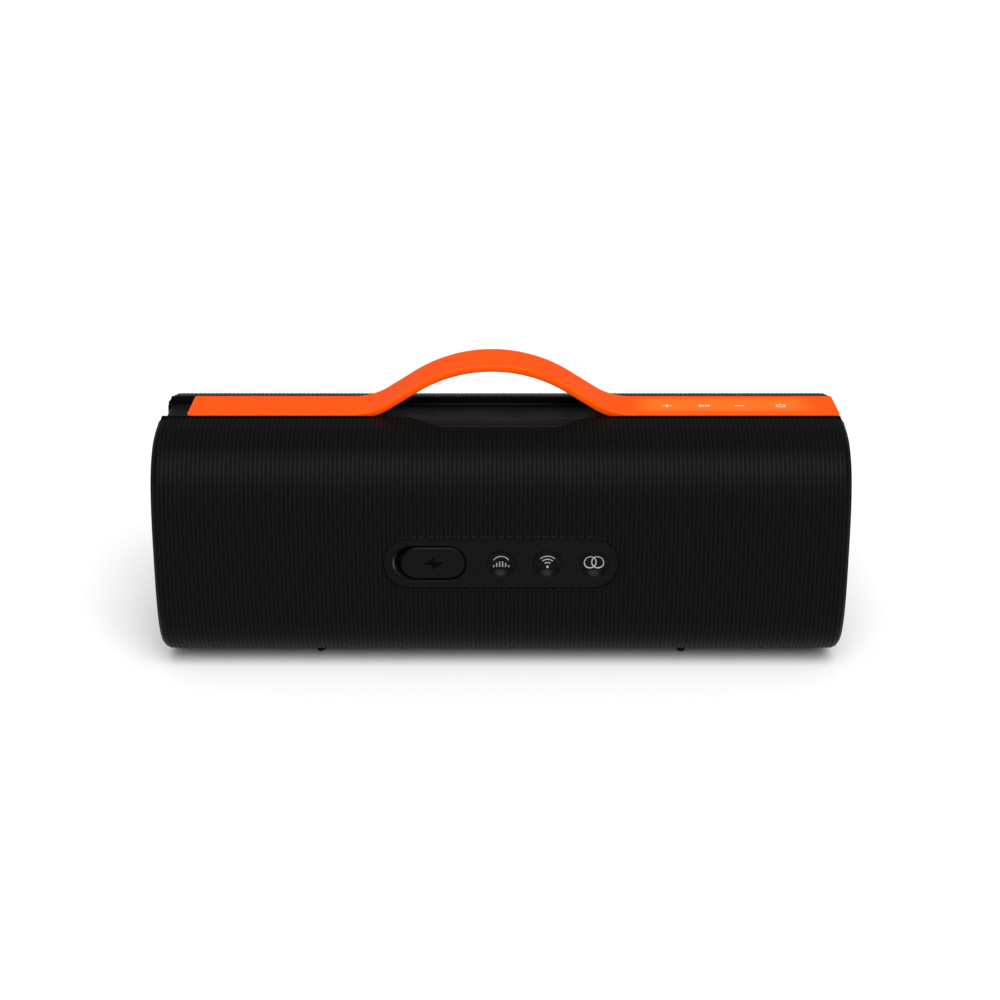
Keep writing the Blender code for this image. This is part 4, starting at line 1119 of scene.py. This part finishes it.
def button_marks():
    """Generic marks: bars under an arc, wireless arcs, and two linked rings."""
    thin = 0.00042
    foot_z = -0.0020
    bars = [(0.0030, 0.0008), (0.0018, 0.0016), (0.0006, 0.0022)]
    bars = [(-x, height) for x, height in bars] + bars[::-1]
    waves = [arc((0, foot_z), radius, 50, 130) for radius in (0.0018, 0.0032, 0.0046)]
    shapes = {
        "button_bass": [line((x, foot_z), (x, foot_z + height)) for x, height in bars]
        + [arc((0, -0.0012), 0.0037, 35, 145)],
        "button_pairing": waves + [arc((0, foot_z), 0.00030, 0, 360)],
        "button_link": [arc((x, 0), 0.0024, 0, 360, 40) for x in (-0.0015, 0.0015)],
    }
    for name, lines in shapes.items():
        on_button = on_panel(BUTTONS[name])

        def place(across, up, lift):
            depth = PANEL_FACE + button_depth(math.hypot(across, up)) - lift
            return on_button(across, up, depth)

        finish(mark(name + "_mark", lines, thin, "panel_print", place), name, "case_plastic")


def port_flap():
    """Soft cover of the charging port with a sunk mark."""
    low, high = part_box("port_flap")
    middle = (low + high) / 2
    radius = (high.z - low.z) / 2
    reach = (high.x - low.x) / 2 - radius
    face = PANEL_FACE + 0.0002
    turns = [math.pi / 2 * i / 16 for i in range(1, 17)]
    along = [reach + radius * math.cos(turn) for turn in turns]
    along += [reach - 2 * reach * i / 14 for i in range(1, 14)]
    along += [-reach - radius * math.cos(turn) for turn in turns[::-1]]
    rings = []
    for x in along:
        past = max(abs(x) - reach, 0)
        half = math.sqrt(max(radius ** 2 - past ** 2, 0))
        ring = []
        for i in range(-12, 13):
            z = half * math.sin(math.pi / 2 * i / 12)
            edge = max(radius - math.hypot(past, z), 0)
            ring.append((middle.x + x, face + end_rounding(edge, FLAP_EDGE), middle.z + z))
        ring += [(middle.x + x, high.y, middle.z + z) for z in (half, -half)]
        rings.append(ring)
    piece = loft("port_flap_cover", rings, "flap_rubber", True, True)
    bolt = [(-0.0040, -0.0004), (0.0006, 0.0028), (0.0003, 0.0009)]
    bolt += [(-a, -b) for a, b in bolt]
    place = on_panel(middle.x)
    carve(piece, [prism("bolt_cut", bolt, face - 0.002, face + 0.0008, place)])
    # The sunk mark's floor is the very dark, dull rubber: painted shade in the recess.
    inlay = prism("port_flap_bolt", bolt, face + 0.0004, face + 0.0009, place, "rim_rubber")
    finish(inlay, "port_flap", "soft_rubber")
    x, y, z = JOINTS["port_flap_open"]["pos_m"]
    start, end = (high.x, y, z), (x - FLAP_BEND, y, z)
    bend_across(piece, "soft_rubber", ("case", "port_flap"), start, end, "port_flap")


# ---------------- ends, radiators, feet

def polar_section(inset, angles):
    """Section drawn in by an inset, at polar angles, as rows of (Y, Z)."""
    path = dense_section(-inset)
    at = np.unwrap(np.arctan2(path[:, 0], path[:, 1]))
    radius = np.interp(angles, at, np.hypot(path[:, 0], path[:, 1]))
    return np.stack([radius * np.sin(angles), radius * np.cos(angles)], 1) + (0, SECTION_Z)


def end_cap(side, sign):
    """Moulded end frame: soft lip inside the cloth, a face that turns round, and a seat."""
    angles = np.linspace(0, 2 * math.pi, 145)[:-1]
    circle = np.stack([np.sin(angles), np.cos(angles)], 1)
    axis = (0, MIDDLE_Z)
    # Each row is an inset or a radius, and a depth behind the end.
    lips = [(0.0014, 0.0030), (0.0018, 0.0010), (0.0021, 0.0005), (0.0027, 0.0003)]
    lips += [(0.0040, 0.0003)]
    seat = [(0.0358, 0.0011), (0.0355, 0.0018), (0.0355, 0.0077), (0.0350, 0.0078)]
    seat += [(0.0330, 0.0078)]
    rows = [(polar_section(inset, angles), depth) for inset, depth in lips]
    wide, narrow = polar_section(0.0044, angles), SEAT_RADIUS * circle + axis
    for share in (0.33, 0.66, 1.0):
        rows.append((wide * (1 - share) + narrow * share, 0.0003 + 0.0004 * share))
    rows += [(radius * circle + axis, depth) for radius, depth in seat]
    rings = [[(sign * (HALF_LENGTH - depth), y, z) for y, z in row] for row, depth in rows]
    piece = loft(f"end_cap_{side}", rings, "case_plastic")
    finish(piece, "case", "case_plastic", f"end_ring_{side}")


def depths_along_x(node):
    """Smallest and largest distance of a node's box from the middle, along X."""
    return sorted(abs(corner.x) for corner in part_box(node))


def radiator(side, sign):
    """Passive radiator: turned disc and a rubber roll, made in sectors."""
    def place(a, b, x):
        return (sign * x, a, MIDDLE_Z + b)

    disc_node, roll_node = f"radiator_disc_{side}", f"radiator_surround_{side}"
    back, face = depths_along_x(disc_node)
    low_face, under = face - 0.0016, face - 0.0044
    shares = [i / 12 for i in range(13)]
    profile = [(0.0190 * share, low_face + 0.0010 * share ** 2) for share in shares]
    profile += [
        (0.0205, face - 0.0002),
        (0.0215, face),
        (0.0230, face),
        (0.0239, face - 0.0003),
        (0.0245, face - 0.0009),
        (DISC_RADIUS, low_face),
        (DISC_RADIUS, under),
        (DISC_HUB, under),
        (DISC_HUB, back),
        (0.0, back),
    ]
    disc = lathe(f"radiator_dish_{side}", profile, "radiator_metal", place, 96)
    finish(disc, disc_node, "radiator_metal", disc_node)
    base = depths_along_x(roll_node)[0]
    top = base + ROLL_THICKNESS
    middle, roll = (ROLL_INNER + ROLL_OUTER) / 2, (ROLL_OUTER - ROLL_INNER) / 2 - 0.0016
    turns = [math.pi * i / 16 for i in range(17)]
    upper = [(middle - roll * math.cos(turn), top + roll * math.sin(turn)) for turn in turns]
    lower = [(radius, x - ROLL_THICKNESS) for radius, x in upper[::-1]]
    profile = [(ROLL_INNER, top), *upper, (ROLL_OUTER, top), (ROLL_OUTER, base), *lower]
    profile += [(ROLL_INNER, base), profile[0]]
    sweep = 2 * math.pi / ROLL_SECTORS
    for number in range(ROLL_SECTORS):
        turn = sweep * number
        name = f"radiator_roll_{side}_{number + 1}"
        piece = lathe(name, profile, "soft_rubber", place, 8, turn, sweep, 50)
        a, b = math.cos(turn + sweep / 2), math.sin(turn + sweep / 2)
        start, end = [place(a * radius, b * radius, base) for radius in (0.0256, 0.0337)]
        nodes = [roll_node] if number == 0 else []
        bend_across(piece, "soft_rubber", (disc_node, "case"), start, end, *nodes)


def foot(side):
    """Rubber rail under the body, with a soft lower edge."""
    low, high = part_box(f"foot_{side}")
    middle = (low + high) / 2
    length, width = high.y - low.y, high.x - low.x
    rings = []
    for inset, rise in ((0.0009, 0), (0.0004, 0.0001), (0.0001, 0.0004), (0, 0.0009)):
        outline = pill(length, width, 16, -inset)
        rings.append([(middle.x + b, middle.y + a, low.z + rise) for a, b in outline])
    rings.append([(x, y, high.z) for x, y, _ in rings[-1]])
    piece = loft(f"foot_rail_{side}", rings, "soft_rubber", True, True)
    finish(piece, "case", "soft_rubber", f"foot_{side}")


# ---------------- stage, light and camera

def stage():
    """Plain pale floor, which isn't part of the object."""
    look = new_material("pale_floor", (0.86, 0.86, 0.86), 0.9, 0.0, 0.0)
    dim, pale = (0.855, 0.855, 0.855), (0.865, 0.865, 0.865)
    link(look, mix_colours(look, noise(look, 3.0, 2.0), dim, pale), "Base Color")
    MATERIALS["pale_floor"] = look
    size = FLOOR_HALF
    corners = [(-size, -size, 0), (size, -size, 0), (size, size, 0), (-size, size, 0)]
    new_piece("floor", corners, [(0, 1, 2, 3)], "pale_floor")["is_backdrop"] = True


def soft_sun(name, height, spread, strength):
    """Very large soft light from in front of the panel, at a height in degrees."""
    turn = math.radians(height)
    data = bpy.data.lights.new(name, "SUN")
    data.angle = math.radians(spread)
    data.energy = strength
    towards = Vector((SUN_SIDE, -math.cos(turn), math.sin(turn)))
    in_scene(name, data).rotation_euler = towards.to_track_quat("Z", "Y").to_euler()


def light_and_camera():
    """Soft suns, a world that lights gently and shows as a white backdrop, and the camera."""
    world = bpy.data.worlds.new("soft_studio")
    world.use_nodes = True
    background = world.node_tree.nodes["Background"]
    background.inputs["Color"].default_value = (1, 1, 1, 1)
    seen = node(world, "ShaderNodeLightPath").outputs["Is Camera Ray"]
    strength = ramp(world, seen, 0.0, 1.0, WORLD_LIGHT, BACKDROP)
    link(world, strength, "Strength", "Background")
    scene = bpy.context.scene
    scene.world = world
    scene.view_settings.view_transform = "Standard"
    for sun in SUNS:
        soft_sun(*sun)
    data = bpy.data.cameras.new("camera")
    data.sensor_width = 36.0
    data.lens = CAMERA_LENS
    data.clip_start = 0.01
    camera = in_scene("camera", data)
    camera.location = CAMERA_PLACE
    camera.rotation_euler = (math.pi / 2 - CAMERA_DIP, 0, 0)
    scene.camera = camera


# ---------------- build

SLOT_OF = {entry["node"]: entry["material_slot"] for entry in frame["record"]["subparts"]}
for name, part in frame["nodes"].items():
    part.data.materials.clear()
    part.data.materials.append(MATERIALS[SLOT_OF[name]])

sleeve = finish(cloth_sleeve(), "case", "knit_fabric", "fabric_sleeve")
strap_right()
strap_arch()
strap_left()
strap_keys()
key_marks()
tray()
tray_rims()
tray_apron()
rear_panel()
panel_hem()
panel_buttons()
button_marks()
port_flap()
for side, sign in (("left", -1), ("right", 1)):
    end_cap(side, sign)
    radiator(side, sign)
    foot(side)
stage()
light_and_camera()

visual_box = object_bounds()
boxes = {"cad": cad_box, "visual": visual_box}
{name: [list(corner) for corner in box] for name, box in boxes.items()}
